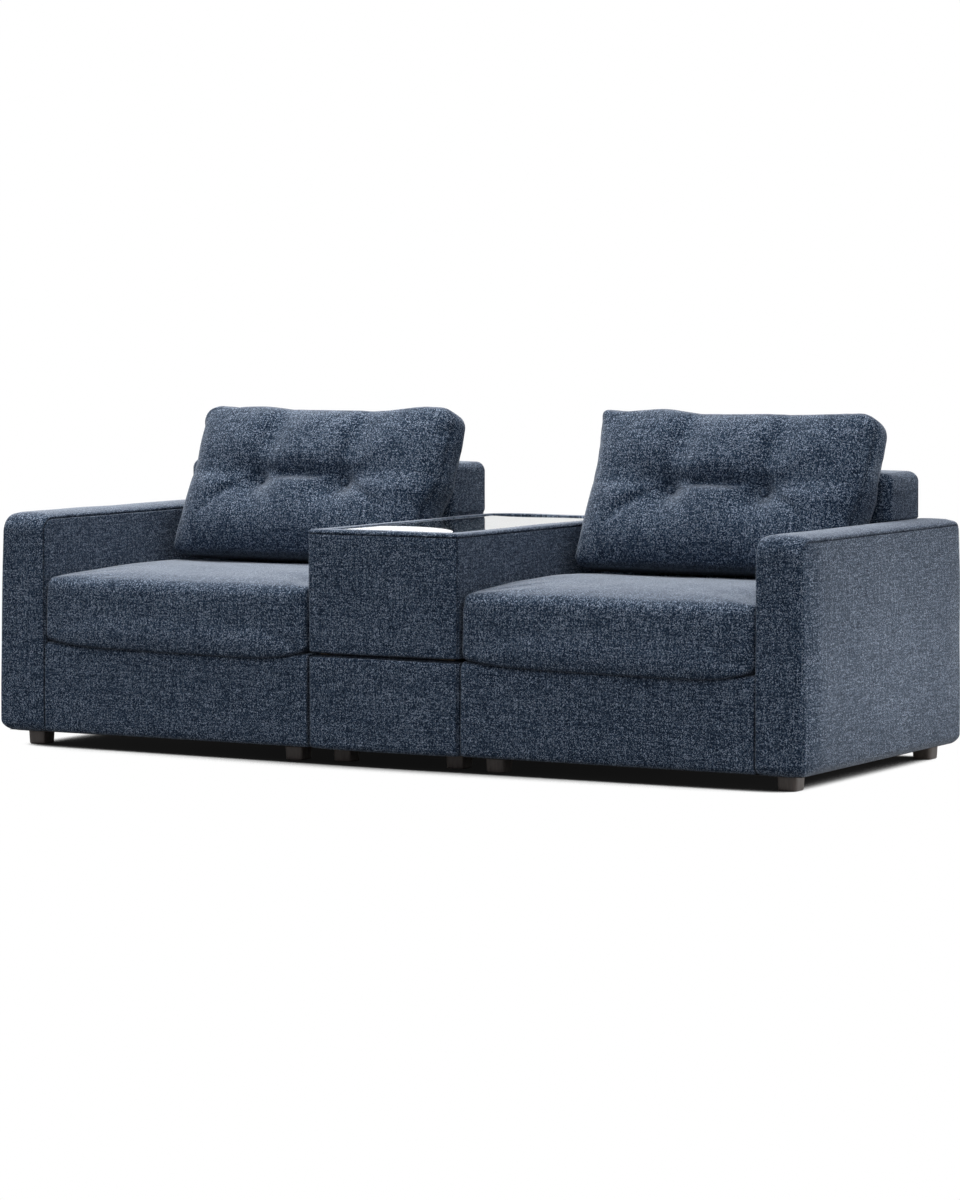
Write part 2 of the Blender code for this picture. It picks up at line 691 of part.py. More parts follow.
def build():
    root = pivot("console_root", (0, 0, 0))
    console(root)
    chair("left", -1, root)
    chair("right", 1, root)


build()
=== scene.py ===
import bpy
import numpy as np
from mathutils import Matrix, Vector


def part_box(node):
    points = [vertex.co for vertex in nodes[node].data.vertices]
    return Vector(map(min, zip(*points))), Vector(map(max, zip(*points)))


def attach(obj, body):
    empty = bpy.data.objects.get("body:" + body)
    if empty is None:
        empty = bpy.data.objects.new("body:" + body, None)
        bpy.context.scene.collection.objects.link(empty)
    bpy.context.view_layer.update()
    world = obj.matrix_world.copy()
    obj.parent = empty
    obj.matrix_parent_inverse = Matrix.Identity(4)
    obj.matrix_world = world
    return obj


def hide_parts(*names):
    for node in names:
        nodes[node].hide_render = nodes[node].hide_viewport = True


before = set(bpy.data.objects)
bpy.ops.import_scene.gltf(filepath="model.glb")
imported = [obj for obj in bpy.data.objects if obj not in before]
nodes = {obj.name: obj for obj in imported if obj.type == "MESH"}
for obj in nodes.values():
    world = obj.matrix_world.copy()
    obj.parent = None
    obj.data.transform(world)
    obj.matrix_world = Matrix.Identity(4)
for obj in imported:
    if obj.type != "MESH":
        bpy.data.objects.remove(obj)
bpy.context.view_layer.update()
sides = {"left": -1, "right": 1}
print("frame loaded:", len(nodes), "nodes")


# what goes into a socket: a link, a colour or a plain number
def feed(tree, socket, value):
    if isinstance(value, bpy.types.NodeSocket):
        tree.links.new(value, socket)
    elif isinstance(value, tuple):
        socket.default_value = (*value, 1.0)
    else:
        socket.default_value = value


# one node, with its sockets fed by their names
def newNode(tree, kind, **sockets):
    node = tree.nodes.new("ShaderNode" + kind)
    for title, value in sockets.items():
        feed(tree, node.inputs[title.replace("_", " ")], value)
    return node


def calc(tree, operation, *values):
    node = newNode(tree, "Math")
    node.operation = operation
    for socket, value in zip(node.inputs, values):
        feed(tree, socket, value)
    return node.outputs[0]


def plus(tree, a, b):
    return calc(tree, "ADD", a, b)


def minus(tree, a, b):
    return calc(tree, "SUBTRACT", a, b)


def times(tree, a, b):
    return calc(tree, "MULTIPLY", a, b)


# two values, each times its weight
def weighted(tree, first, firstWeight, second, secondWeight):
    return plus(tree, times(tree, first, firstWeight), times(tree, second, secondWeight))


def vectorOf(tree, x, y, z=0.0):
    return newNode(tree, "CombineXYZ", X=x, Y=y, Z=z).outputs[0]


def scatter(tree, x, y, z=0.0):  # random value for each whole-number place
    return newNode(tree, "TexWhiteNoise", Vector=vectorOf(tree, x, y, z)).outputs["Value"]


def cloud(tree, vector, scale, detail=2.0, rough=0.5):
    node = newNode(tree, "TexNoise", Vector=vector, Scale=scale, Detail=detail, Roughness=rough)
    return node.outputs["Fac"]


def ramp(tree, value, stops, smooth="LINEAR"):
    node = newNode(tree, "ValToRGB", Fac=value)
    node.color_ramp.interpolation = smooth
    marks = node.color_ramp.elements
    while len(marks) < len(stops):
        marks.new(0.5)
    for mark, (place, colour) in zip(marks, stops):
        mark.position = place
        mark.color = (*colour, 1.0)
    return node.outputs["Color"]


def blendColours(tree, share, a, b, mode="MIX"):
    node = newNode(tree, "Mix")
    node.data_type = "RGBA"
    node.blend_type = mode
    for spot, value in ((0, share), (6, a), (7, b)):  # its sockets for colours
        feed(tree, node.inputs[spot], value)
    return node.outputs[2]


def newGroup(name, inputs, outputs):
    group = bpy.data.node_groups.new(name, "ShaderNodeTree")
    for way, sockets in (("INPUT", inputs), ("OUTPUT", outputs)):
        for title, kind in sockets.items():
            group.interface.new_socket(title, in_out=way, socket_type="NodeSocket" + kind)
    return group, group.nodes.new("NodeGroupInput").outputs, group.nodes.new("NodeGroupOutput").inputs


tweed = {
    "pitch": 0.0019,  # metres from yarn to yarn
    "run": 1.0,  # crossings before a yarn changes tone
    "weftLift": 0.10,  # how much paler the weft is than the warp
    "slubRun": 26.0,  # crossings along which a thicker yarn shows
    "slubLift": 0.15,
    "starts": 17.0,  # over how many runs the yarns' beginnings are spread
    "layers": {  # keep the scatters apart
        "row": 7.0, "column": 3.0, "weft": 11.0, "warp": 23.0, "weftSlub": 5.0, "warpSlub": 9.0, "hue": 71.0,
    },
    "heatherScale": 38.0, "heatherLift": 0.06,
    "hue": (1.10, 0.97, 1.02), "hueShare": 0.30,  # most that a crossing takes of that hue
    # near-black painted into the seams, and its most share: the sewn joint's own dark with painted shade in
    # its groove
    "seamShadeColour": (0.004, 0.005, 0.009), "seamShadeShare": 0.72,
    "wobble": 0.0010, "wobbleScale": 90.0,
    "fuzzScale": 1900.0, "fuzzHeight": 0.5, "yarnHeight": 0.7, "bump": 0.55, "bumpDepth": 0.0012,
    "rough": 0.80, "roughSpread": 0.18,
    # painted sheen: how much of a pale colour is blended into the cloth where it is seen at a grazing angle,
    # how fast it falls off, and that colour
    "paintedSheen": 0.66, "paintedSheenFall": 3.6, "paintedSheenColour": (0.55, 0.585, 0.64),
    "paintedSheenFleck": 0.70,  # how much of the flecks still shows in the painted sheen
    "tones": (
        (0.00, (0.008, 0.015, 0.027)),
        (0.54, (0.026, 0.046, 0.078)),
        (0.71, (0.072, 0.109, 0.159)),
        (0.83, (0.176, 0.238, 0.318)),
        (0.98, (0.560, 0.650, 0.770)),
    ),
}


# number of the stretch of yarn that a crossing belongs to
def stretchOf(tree, way, run, start):
    return calc(tree, "FLOOR", plus(tree, calc(tree, "DIVIDE", way, run), start))


# tone moved by how far a value lies from its middle
def moveTone(tree, tone, value, middle, lift):
    return plus(tree, tone, times(tree, minus(tree, value, middle), lift))


# round of a yarn where it shows: one less the square of the way from its middle
def yarnRound(tree, way, shows):
    place = minus(tree, times(tree, calc(tree, "FRACT", way), 2.0), 1.0)
    bulge = minus(tree, 1.0, times(tree, place, place))
    return times(tree, bulge, shows)


# heathered tweed: warp and weft show by turns, the weft a little paler, and every crossing has
# a tone of its own, so pale fibres lie as flecks; thicker yarns and cloudy patches differ a little
def makeTweedGroup():
    group, given, put = newGroup(
        "heatheredTweed",
        {"Place": "Vector", "Seam": "Float"},
        {"Color": "Color", "Height": "Float", "Fuzz": "Float", "Fleck": "Float"},
    )
    layers = tweed["layers"]
    drift = newNode(group, "TexNoise", Vector=given["Place"], Scale=tweed["wobbleScale"], Detail=1.0)
    shift = newNode(group, "VectorMath")
    shift.operation = "MULTIPLY_ADD"
    group.links.new(drift.outputs["Color"], shift.inputs[0])
    shift.inputs[1].default_value = (tweed["wobble"],) * 3
    group.links.new(given["Place"], shift.inputs[2])
    split = newNode(group, "SeparateXYZ", Vector=shift.outputs[0])
    across = calc(group, "DIVIDE", split.outputs["X"], tweed["pitch"])
    along = calc(group, "DIVIDE", split.outputs["Y"], tweed["pitch"])
    column, row = calc(group, "FLOOR", across), calc(group, "FLOOR", along)
    rowStart = times(group, scatter(group, layers["row"], row), tweed["starts"])
    columnStart = times(group, scatter(group, column, layers["column"]), tweed["starts"])
    weftRun = stretchOf(group, across, tweed["run"], rowStart)
    warpRun = stretchOf(group, along, tweed["run"], columnStart)
    weftTone = scatter(group, weftRun, row, layers["weft"])
    warpTone = scatter(group, column, warpRun, layers["warp"])
    over = calc(group, "FLOORED_MODULO", plus(group, column, row), 2.0)
    under = minus(group, 1.0, over)
    tone = weighted(group, weftTone, under, warpTone, over)
    weftSlub = scatter(group, stretchOf(group, across, tweed["slubRun"], rowStart), row, layers["weftSlub"])
    warpSlub = stretchOf(group, along, tweed["slubRun"], columnStart)
    warpSlub = scatter(group, column, warpSlub, layers["warpSlub"])
    tone = moveTone(group, tone, plus(group, weftSlub, warpSlub), 1.0, tweed["slubLift"])
    tone = moveTone(group, tone, under, 0.5, tweed["weftLift"])
    heather = cloud(group, given["Place"], tweed["heatherScale"], detail=3.0)
    tone = moveTone(group, tone, heather, 0.5, tweed["heatherLift"])
    feed(group, put["Fleck"], tone)
    colour = ramp(group, tone, tweed["tones"])
    hue = times(group, scatter(group, weftRun, row, layers["hue"]), tweed["hueShare"])
    colour = blendColours(group, hue, colour, blendColours(group, 1.0, colour, tweed["hue"], "MULTIPLY"))
    # seams darkened: the sewn joint's own dark and painted shade in the groove
    paintedSeamShade = times(group, given["Seam"], tweed["seamShadeShare"])
    feed(group, put["Color"], blendColours(group, paintedSeamShade, colour, tweed["seamShadeColour"]))
    yarn = plus(group, yarnRound(group, along, under), yarnRound(group, across, over))
    fuzz = cloud(group, given["Place"], tweed["fuzzScale"])
    feed(group, put["Height"], weighted(group, yarn, tweed["yarnHeight"], fuzz, tweed["fuzzHeight"]))
    feed(group, put["Fuzz"], plus(group, times(group, fuzz, tweed["roughSpread"]), tweed["rough"]))
    return group


woodGrain = {
    "broad": 6.0, "fine": 34.0, "fineShare": 0.35, "darkest": 0.36, "palest": 0.64,
    "rough": 0.35, "roughSpread": 0.25, "bump": 0.4,
}


# grain for timber and boards: noise drawn out along the boards, with a finer one over it
def makeGrainGroup():
    group, given, put = newGroup(
        "woodGrain",
        {"Place": "Vector", "Light": "Color", "Dark": "Color"},
        {"Color": "Color", "Height": "Float", "Rough": "Float"},
    )
    broad = cloud(group, given["Place"], woodGrain["broad"], detail=4.0, rough=0.6)
    fine = cloud(group, given["Place"], woodGrain["fine"], detail=3.0, rough=0.7)
    mixed = weighted(group, broad, 1 - woodGrain["fineShare"], fine, woodGrain["fineShare"])
    sharp = newNode(
        group, "MapRange", Value=mixed, From_Min=woodGrain["darkest"], From_Max=woodGrain["palest"]
    )
    feed(group, put["Color"], blendColours(group, sharp.outputs["Result"], given["Dark"], given["Light"]))
    feed(group, put["Height"], fine)
    feed(group, put["Rough"], plus(group, times(group, fine, woodGrain["roughSpread"]), woodGrain["rough"]))
    return group


mottle = {"coarse": 1.0, "fine": 9.0, "rough": 0.6, "bump": 0.3}


# light wear, dust and unevenness for metal and cloth: a coarse noise times a fine one
def makeMottleGroup():
    group, given, put = newGroup(
        "mottle",
        {"Place": "Vector", "Scale": "Float", "Base": "Color", "Worn": "Color"},
        {"Color": "Color", "Height": "Float", "Mask": "Float"},
    )
    place = newNode(group, "VectorMath", Vector=given["Place"])
    place.operation = "SCALE"
    feed(group, place.inputs["Scale"], given["Scale"])
    coarse = cloud(group, place.outputs[0], mottle["coarse"], detail=4.0, rough=mottle["rough"])
    fine = cloud(group, place.outputs[0], mottle["fine"], rough=mottle["rough"])
    mask = times(group, coarse, fine)
    feed(group, put["Color"], blendColours(group, mask, given["Base"], given["Worn"]))
    feed(group, put["Height"], fine)
    feed(group, put["Mask"], mask)
    return group


tweedGroup, grainGroup, mottleGroup = makeTweedGroup(), makeGrainGroup(), makeMottleGroup()


def newMaterial(name, **sockets):
    made = bpy.data.materials.new(name)
    made.use_nodes = True
    shader = made.node_tree.nodes["Principled BSDF"]
    for title, value in sockets.items():
        shader.inputs[title.replace("_", " ")].default_value = value
    return made, made.node_tree, shader


def useGroup(tree, group, **sockets):
    node = newNode(tree, "Group")
    node.node_tree = group
    for title, value in sockets.items():
        feed(tree, node.inputs[title], value)
    return node.outputs


def addBump(tree, shader, height, strength, distance):
    node = newNode(tree, "Bump", Strength=strength, Distance=distance, Height=height)
    feed(tree, shader.inputs["Normal"], node.outputs["Normal"])


# where a pattern sits: object coordinates, drawn out along an axis by a small scale
def objectPlace(tree, scale=(1.0, 1.0, 1.0)):
    mapping = newNode(tree, "Mapping", Vector=newNode(tree, "TexCoord").outputs["Object"])
    mapping.inputs["Scale"].default_value = scale
    return mapping.outputs["Vector"]


def makeTweed():
    made, tree, shader = newMaterial(
        "navyTweed",
        Sheen_Weight=0.12,
        Sheen_Roughness=0.40,
        Sheen_Tint=(0.82, 0.88, 1.0, 1.0),
        Specular_IOR_Level=0.04,
    )
    uv = newNode(tree, "UVMap")
    uv.uv_map = "weave"
    seam = newNode(tree, "Attribute")
    seam.attribute_name = "seam"
    cloth = useGroup(tree, tweedGroup, Place=uv.outputs["UV"], Seam=seam.outputs["Fac"])
    rim = newNode(tree, "LayerWeight", Blend=0.5)  # painted sheen: fibre ends stand up and shine along the cloth, and that shine is painted into the colour as a paler tone where the cloth is seen at a grazing angle
    paintedSheen = times(tree, calc(tree, "POWER", rim.outputs["Facing"], tweed["paintedSheenFall"]), tweed["paintedSheen"])
    paintedSheen = times(tree, paintedSheen, minus(tree, 1.0, seam.outputs["Fac"]))
    fleck = calc(tree, "MULTIPLY_ADD", cloth["Fleck"], tweed["paintedSheenFleck"], 1.0 - tweed["paintedSheenFleck"] / 2)
    paintedSheenTint = blendColours(tree, 1.0, tweed["paintedSheenColour"], vectorOf(tree, fleck, fleck, fleck), "MULTIPLY")
    feed(tree, shader.inputs["Base Color"], blendColours(tree, paintedSheen, cloth["Color"], paintedSheenTint))
    feed(tree, shader.inputs["Roughness"], cloth["Fuzz"])
    addBump(tree, shader, cloth["Height"], tweed["bump"], tweed["bumpDepth"])
    return made


def makeWood(name, light, dark, scale, depth):
    made, tree, shader = newMaterial(name, Specular_IOR_Level=0.4)
    grain = useGroup(tree, grainGroup, Place=objectPlace(tree, scale), Light=light, Dark=dark)
    feed(tree, shader.inputs["Base Color"], grain["Color"])
    feed(tree, shader.inputs["Roughness"], grain["Rough"])
    addBump(tree, shader, grain["Height"], woodGrain["bump"], depth)
    return made


def makeMottled(name, base, worn, scale, depth, **sockets):
    made, tree, shader = newMaterial(name, **sockets)
    worked = useGroup(tree, mottleGroup, Place=objectPlace(tree), Scale=scale, Base=base, Worn=worn)
    feed(tree, shader.inputs["Base Color"], worked["Color"])
    addBump(tree, shader, worked["Height"], mottle["bump"], depth)
    return made


glass = {"tint": (0.90, 0.96, 0.95, 1.0), "smearScale": 11.0, "smear": 0.05}


# clear glass, its gloss a little uneven
def makeGlass():
    made, tree, shader = newMaterial("clearGlass", Transmission_Weight=1.0, IOR=1.5, Base_Color=glass["tint"])
    smear = useGroup(
        tree, mottleGroup,
        Place=objectPlace(tree), Scale=glass["smearScale"], Base=(0.0, 0.0, 0.0), Worn=(1.0, 1.0, 1.0),
    )
    feed(tree, shader.inputs["Roughness"], times(tree, smear["Mask"], glass["smear"]))
    return made


# wood: pale and dark colour, scale each way, depth; the others: colour, wear, scale, depth
looks = {
    "fabric": makeTweed(),
    "timber": makeWood("frameTimber", (0.56, 0.41, 0.25), (0.36, 0.24, 0.13), (9.0, 0.8, 9.0), 0.0006),
    "leg_wood": makeWood(
        "darkLegWood", (0.120, 0.098, 0.086), (0.062, 0.050, 0.044), (26.0, 26.0, 3.0), 0.0003
    ),
    "spring_steel": makeMottled(
        "springSteel", (0.36, 0.35, 0.34), (0.20, 0.17, 0.15), 30.0, 0.0002, Metallic=1.0, Roughness=0.38
    ),
    "bracket_steel": makeMottled(
        "blackBracketSteel", (0.022, 0.022, 0.024), (0.10, 0.09, 0.085), 40.0, 0.0002,
        Metallic=0.4, Roughness=0.5,
    ),
    "dust_cloth": makeMottled(
        "blackDustCloth", (0.010, 0.010, 0.011), (0.045, 0.045, 0.048), 160.0, 0.0006, Roughness=0.95
    ),
    "bed_board": makeMottled(
        "darkBedBoard", (0.016, 0.018, 0.023), (0.034, 0.036, 0.042), 22.0, 0.0002, Roughness=0.5
    ),
    "glass": makeGlass(),
}
print("materials made:", len(looks))


def unit(values):
    return np.clip(values, 0, 1)


# grid lines: fine ones listed in from both ends, then even steps between them
def spaced(low, high, fineLow, fineHigh, step):
    start, end = low + fineLow[-1], high - fineHigh[-1]
    between = np.linspace(start, end, max(2, int(round((end - start) / step)) + 1))
    return np.concatenate([low + np.array(fineLow[:-1]), between, high - np.array(fineHigh[:-1])[::-1]])


# faces of a grid of points held row by row
def gridQuads(rows, columns):
    first = (np.arange(rows - 1)[:, None] * columns + np.arange(columns - 1)).ravel()
    return np.stack([first, first + columns, first + columns + 1, first + 1], 1)


# surface of a box as six grids welded along their edges; keep says which of its faces stay
def boxGrid(xs, ys, zs, keep=None):
    lines = (xs, ys, zs)
    points, quads, count = [], [], 0
    for fixed, value, first, second in (
        (1, ys[0], 0, 2), (1, ys[-1], 2, 0), (0, xs[0], 2, 1),
        (0, xs[-1], 1, 2), (2, zs[-1], 0, 1), (2, zs[0], 1, 0),
    ):
        u, v = np.meshgrid(lines[first], lines[second], indexing="ij")
        patch = np.empty(u.shape + (3,))
        patch[..., fixed], patch[..., first], patch[..., second] = value, u, v
        points.append(patch.reshape(-1, 3))
        quads.append(gridQuads(*u.shape) + count)
        count += u.size
    points, quads = np.concatenate(points), np.concatenate(quads)
    if keep is not None:
        quads = quads[keep(points[quads].mean(1))]
    # points that agree to the micrometre made one, without those that no face uses
    rounded = np.round(points * 1e6).astype(np.int64)
    _, first, index = np.unique(rounded, axis=0, return_index=True, return_inverse=True)
    used, quads = np.unique(index.reshape(-1)[quads], return_inverse=True)
    return points[first][used], quads.reshape(-1, 4)


def evenBox(low, high, step):
    counts = np.round((high - low) / step).astype(int) + 1
    return boxGrid(*(np.linspace(a, b, n) for a, b, n in zip(low, high, counts)))


# square corner to quarter round: each side shortens as the other one lengthens
def roundCorner(u, v):
    return u * np.sqrt(1 - v * v / 2), v * np.sqrt(1 - u * u / 2)


# box to upholstered block: the four bends of its side view get their own radii, the edges
# of its two side panels a small one. Gives places, normals, the way over the panel edge
# (0 on the edge, less on the band, more on the panel) and the depth in from that edge.
def bendBlock(p, low, high, radii, edge):
    x, y, z = p.T
    middle, half = (low + high) / 2, (high - low) / 2
    frontSide, lowSide = y < middle[1], z < middle[2]
    frontLow, rearLow, rearHigh, frontHigh = radii
    r = np.where(frontSide, np.where(lowSide, frontLow, frontHigh), np.where(lowSide, rearLow, rearHigh))
    wayY, wayZ = np.where(frontSide, -1.0, 1.0), np.where(lowSide, -1.0, 1.0)
    centreY = middle[1] + wayY * (half[1] - r)
    centreZ = middle[2] + wayZ * (half[2] - r)
    u, v = (y - centreY) * wayY / r, (z - centreZ) * wayZ / r
    bend = (u > 0) & (v > 0)
    bentU, bentV = roundCorner(unit(u), unit(v))
    y = np.where(bend, centreY + wayY * r * bentU, y)
    z = np.where(bend, centreZ + wayZ * r * bentV, z)
    inY, inZ = half[1] - np.abs(y - middle[1]), half[2] - np.abs(z - middle[2])
    reach = np.hypot(bentU, bentV)
    depth = np.maximum(np.where(bend, r * (1 - reach), np.minimum(inY, inZ)), 0)
    facesY = inY < inZ
    normalY = np.where(bend, wayY * bentU / np.maximum(reach, 1e-9), np.where(facesY, wayY, 0))
    normalZ = np.where(bend, wayZ * bentV / np.maximum(reach, 1e-9), np.where(facesY, 0, wayZ))
    out = np.abs(x - middle[0])
    wayX = np.sign(x - middle[0])
    a = unit((out - (half[0] - edge)) / edge)
    b = unit(1 - depth / edge)
    roundA, roundB = roundCorner(a, b)
    newOut = np.where(a > 0, half[0] - edge + edge * roundA, out)
    newDepth = np.where(b > 0, edge * (1 - roundB), depth)
    lift = depth - newDepth
    size = np.maximum(np.hypot(roundA, roundB), 1e-9)
    places = np.stack([middle[0] + wayX * newOut, y + normalY * lift, z + normalZ * lift], 1)
    normals = np.stack([wayX * roundA / size, normalY * roundB / size, normalZ * roundB / size], 1)
    turn = np.arctan2(roundA, np.maximum(roundB, 1e-9)) - np.pi / 4
    onBand = b > 0.999
    way = edge * turn - np.maximum(half[0] - edge - out, 0) * onBand + np.maximum(depth - edge, 0)
    return places, normals, way, depth, np.stack([normalY, normalZ], 1)


# slow unevenness of hand-made padding: a few plane waves with seeded ways and phases
def waves(p, seed, height, length, count=7):
    dice = np.random.default_rng(seed)
    ways = dice.normal(size=(count, 3))
    ways *= (dice.uniform(0.6, 1.6, count) * 2 * np.pi / length / np.linalg.norm(ways, axis=1))[:, None]
    return height * np.sin(p @ ways.T + dice.uniform(0, 2 * np.pi, count)).sum(1) / np.sqrt(count)


# bell-shaped dent: full at 0, then e to the minus square of the way over the width
def dip(way, width):
    return np.exp(-((way / width) ** 2))


# 0 to 1 with a level start and end: three squares less two cubes
def smoothStep(share):
    return share ** 2 * (3 - 2 * share)


# 1 where a face looks fully one way, fading to 0 as it turns off
def facing(share, gain, loss=0.3):
    return unit(share * gain - loss)


# normals of faces from their diagonals, longer for larger faces
def faceNormals(corners):
    return np.cross(corners[:, 2] - corners[:, 0], corners[:, 3] - corners[:, 1])


# mesh with its weave map: each face takes the two axes that it lies along, in metres
def clothMesh(name, points, quads, seam, origin=(0, 0, 0), turn=np.eye(3)):
    mesh = bpy.data.meshes.new(name)
    mesh.vertices.add(len(points))
    mesh.vertices.foreach_set("co", points.astype(np.float32).ravel())
    mesh.loops.add(quads.size)
    mesh.loops.foreach_set("vertex_index", quads.astype(np.int32).ravel())
    mesh.polygons.add(len(quads))
    mesh.polygons.foreach_set("loop_start", np.arange(0, quads.size, quads.shape[1], dtype=np.int32))
    mesh.update(calc_edges=True)
    corners = ((points - np.array(origin)) @ turn)[quads]
    along = np.array([(1, 2), (0, 2), (0, 1)])[np.abs(faceNormals(corners)).argmax(1)]
    weave = np.take_along_axis(corners, along[:, None], 2)
    layer = mesh.uv_layers.new(name="weave")
    layer.data.foreach_set("uv", weave.astype(np.float32).ravel())
    # seam: how much the colour is darkened, for a sewn joint and for painted shade in its groove or under an
    # edge
    mark = mesh.attributes.new("seam", "FLOAT", "POINT")
    mark.data.foreach_set("value", unit(seam).astype(np.float32))
    mesh.shade_smooth()
    return mesh


def addPiece(name, mesh, slot, body, *stoodFor):
    piece = bpy.data.objects.new(name, mesh)
    bpy.context.scene.collection.objects.link(piece)
    mesh.materials.append(looks[slot])
    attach(piece, body)
    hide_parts(*stoodFor)
    return piece


def addWall(piece, thickness):
    wall = piece.modifiers.new("wall", "SOLIDIFY")
    wall.thickness = thickness
    wall.offset = -1


def nodeBox(node):
    return tuple(np.array(corner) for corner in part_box(node))


def nodeMiddle(node):
    low, high = nodeBox(node)
    return (low + high) / 2


covers = {
    "arm": {
        "radii": (0.026, 0.012, 0.018, 0.045), "edge": 0.010, "side": 0.0030, "band": 0.0035, "top": 0.0120,
        "seams": "edges", "uneven": 0.0007,
        "soft": {-1: 0.002, 1: 0.012}, "softReach": 0.100,  # outer panel falls back towards the front
        "flare": {-1: 0.014, 1: 0.008}, "skirt": 0.026,  # and spreads and is rounded off below
    },
    "base": {
        "radii": (0.014, 0.012, 0.012, 0.022), "edge": 0.005, "side": 0.0, "band": 0.0030,
        "uneven": 0.0007, "fade": (0.03, 0.05),  # flat at its lower and upper edge
    },
    "back": {
        "radii": (0.021, 0.021, 0.028, 0.028), "edge": 0.021, "side": 0.0020, "band": 0.0030,
        "uneven": 0.0007,
        "overhang": (0.025, 0.005), "overRise": 0.014,  # over the arm and the console beside it
    },
    "consoleBase": {
        "radii": (0.013, 0.013, 0.014, 0.014), "edge": 0.011, "side": 0.0015, "band": 0.0025,
        "seams": "corners", "uneven": 0.0006, "joint": 1,
    },
    "consoleBox": {
        "radii": (0.013, 0.013, 0.009, 0.009), "edge": 0.009, "side": 0.0015, "band": 0.0025,
        "seams": "lid", "uneven": 0.0006, "joint": 0,
    },
}
sewing = {
    "depth": 0.0034, "width": 0.0021, "place": 0.0015, "joint": 0.0030, "lidDrop": 0.010,
    "corner": 0.6, "outerEase": 0.65,  # corners are drawn in less, and an arm's outer front edge
    "hem": 0.021, "wall": 0.0030, "roll": 0.005, "glassRoom": 0.0004,
    "panelEase": 0.05, "waveLength": 0.30, "step": 0.022, "largeRadius": 0.02,
    "frontGain": 1.6, "uprightFrom": 1.6, "uprightFall": 2.2,  # how fast a seam fades as faces turn
}
fineEdge = [0, 0.0008, 0.0017, 0.0028, 0.0042, 0.0060, 0.0080, 0.0100, 0.0130]
fineRim = np.array([0.0, 0.0006, 0.0014, 0.0024, 0.0036, 0.0050])
hair = 1e-6  # less than any grid step


# fine grid lines in from an edge, with five more where it has a large radius
def edgeLines(radius):
    if radius <= sewing["largeRadius"]:
        return fineEdge
    return fineEdge + [fineEdge[-1] + (radius - fineEdge[-1]) * k / 5 for k in range(1, 6)]


def withLines(lines, *more):
    return np.unique(np.round(np.concatenate([lines, *more]), 6))


# grid lines of a cover: fine at its edges, its lid seam, its opening and where it stands out
def coverLines(spec, low, high, opening, beside):
    frontLow, rearLow, rearHigh, frontHigh = spec["radii"]
    side, lower, upper = edgeLines(spec["edge"]), edgeLines(max(frontLow, rearLow)), edgeLines(frontHigh)
    front, rear = edgeLines(max(frontLow, frontHigh)), edgeLines(max(rearLow, rearHigh))
    if spec.get("seams") == "lid":
        lidLines = [sewing["lidDrop"] + d / 1000 for d in (-2, -1, 0, 1, 2, 4)]
        upper = sorted(set(edgeLines(max(frontHigh, rearHigh)) + lidLines))
    xs = spaced(low[0], high[0], side, side, sewing["step"])
    ys = spaced(low[1], high[1], front, rear, sewing["step"])
    zs = spaced(low[2], high[2], lower, upper, sewing["step"])
    for neighbour in beside:
        zs = withLines(zs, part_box(neighbour)[1][2] + spec["overRise"] * np.linspace(0, 1, 5))
    if opening is not None:
        holeLow, holeHigh = opening
        xs = withLines(xs, holeLow[0] - fineRim, holeHigh[0] + fineRim)
        ys = withLines(ys, holeLow[1] - fineRim, holeHigh[1] + fineRim)
    return xs, ys, zs


# outer panel of an arm: falls back softly to its front edge, with the square of the way there,
# and below is rounded off and spreads
def shapeOuter(points, spec, middle, half, outer):
    low = middle - half
    share = unit((points[:, 0] - middle[0]) * outer / half[0]) ** 2
    back = unit(1 - (points[:, 1] - low[1]) / spec["softReach"])
    points[:, 0] -= outer * spec["soft"][outer] * share * back ** 2
    skirt = spec["skirt"]
    u = unit(1 - half[0] / skirt + (points[:, 0] - middle[0]) * outer / skirt)
    v = unit(1 - (points[:, 2] - low[2]) / skirt)
    roundU, roundV = roundCorner(u, v)
    points[:, 0] += outer * skirt * (roundU - u)
    points[:, 2] -= skirt * (roundV - v)
    up = unit((points[:, 2] - low[2]) / (2 * half[2]))
    points[:, 0] += outer * spec["flare"][outer] * share * (1 - up ** 2)


# ends of a back: they stand out over what is beside them, in a smooth step from its top
def standOut(points, spec, middle, half, beside):
    for neighbour, reach in zip(beside, spec["overhang"]):
        toward = np.sign(nodeMiddle(neighbour)[0] - middle[0])
        share = unit((points[:, 0] - middle[0]) * toward / half[0]) ** 8
        above = unit((points[:, 2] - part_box(neighbour)[1][2]) / spec["overRise"])
        points[:, 0] += toward * reach * share * smoothStep(above)


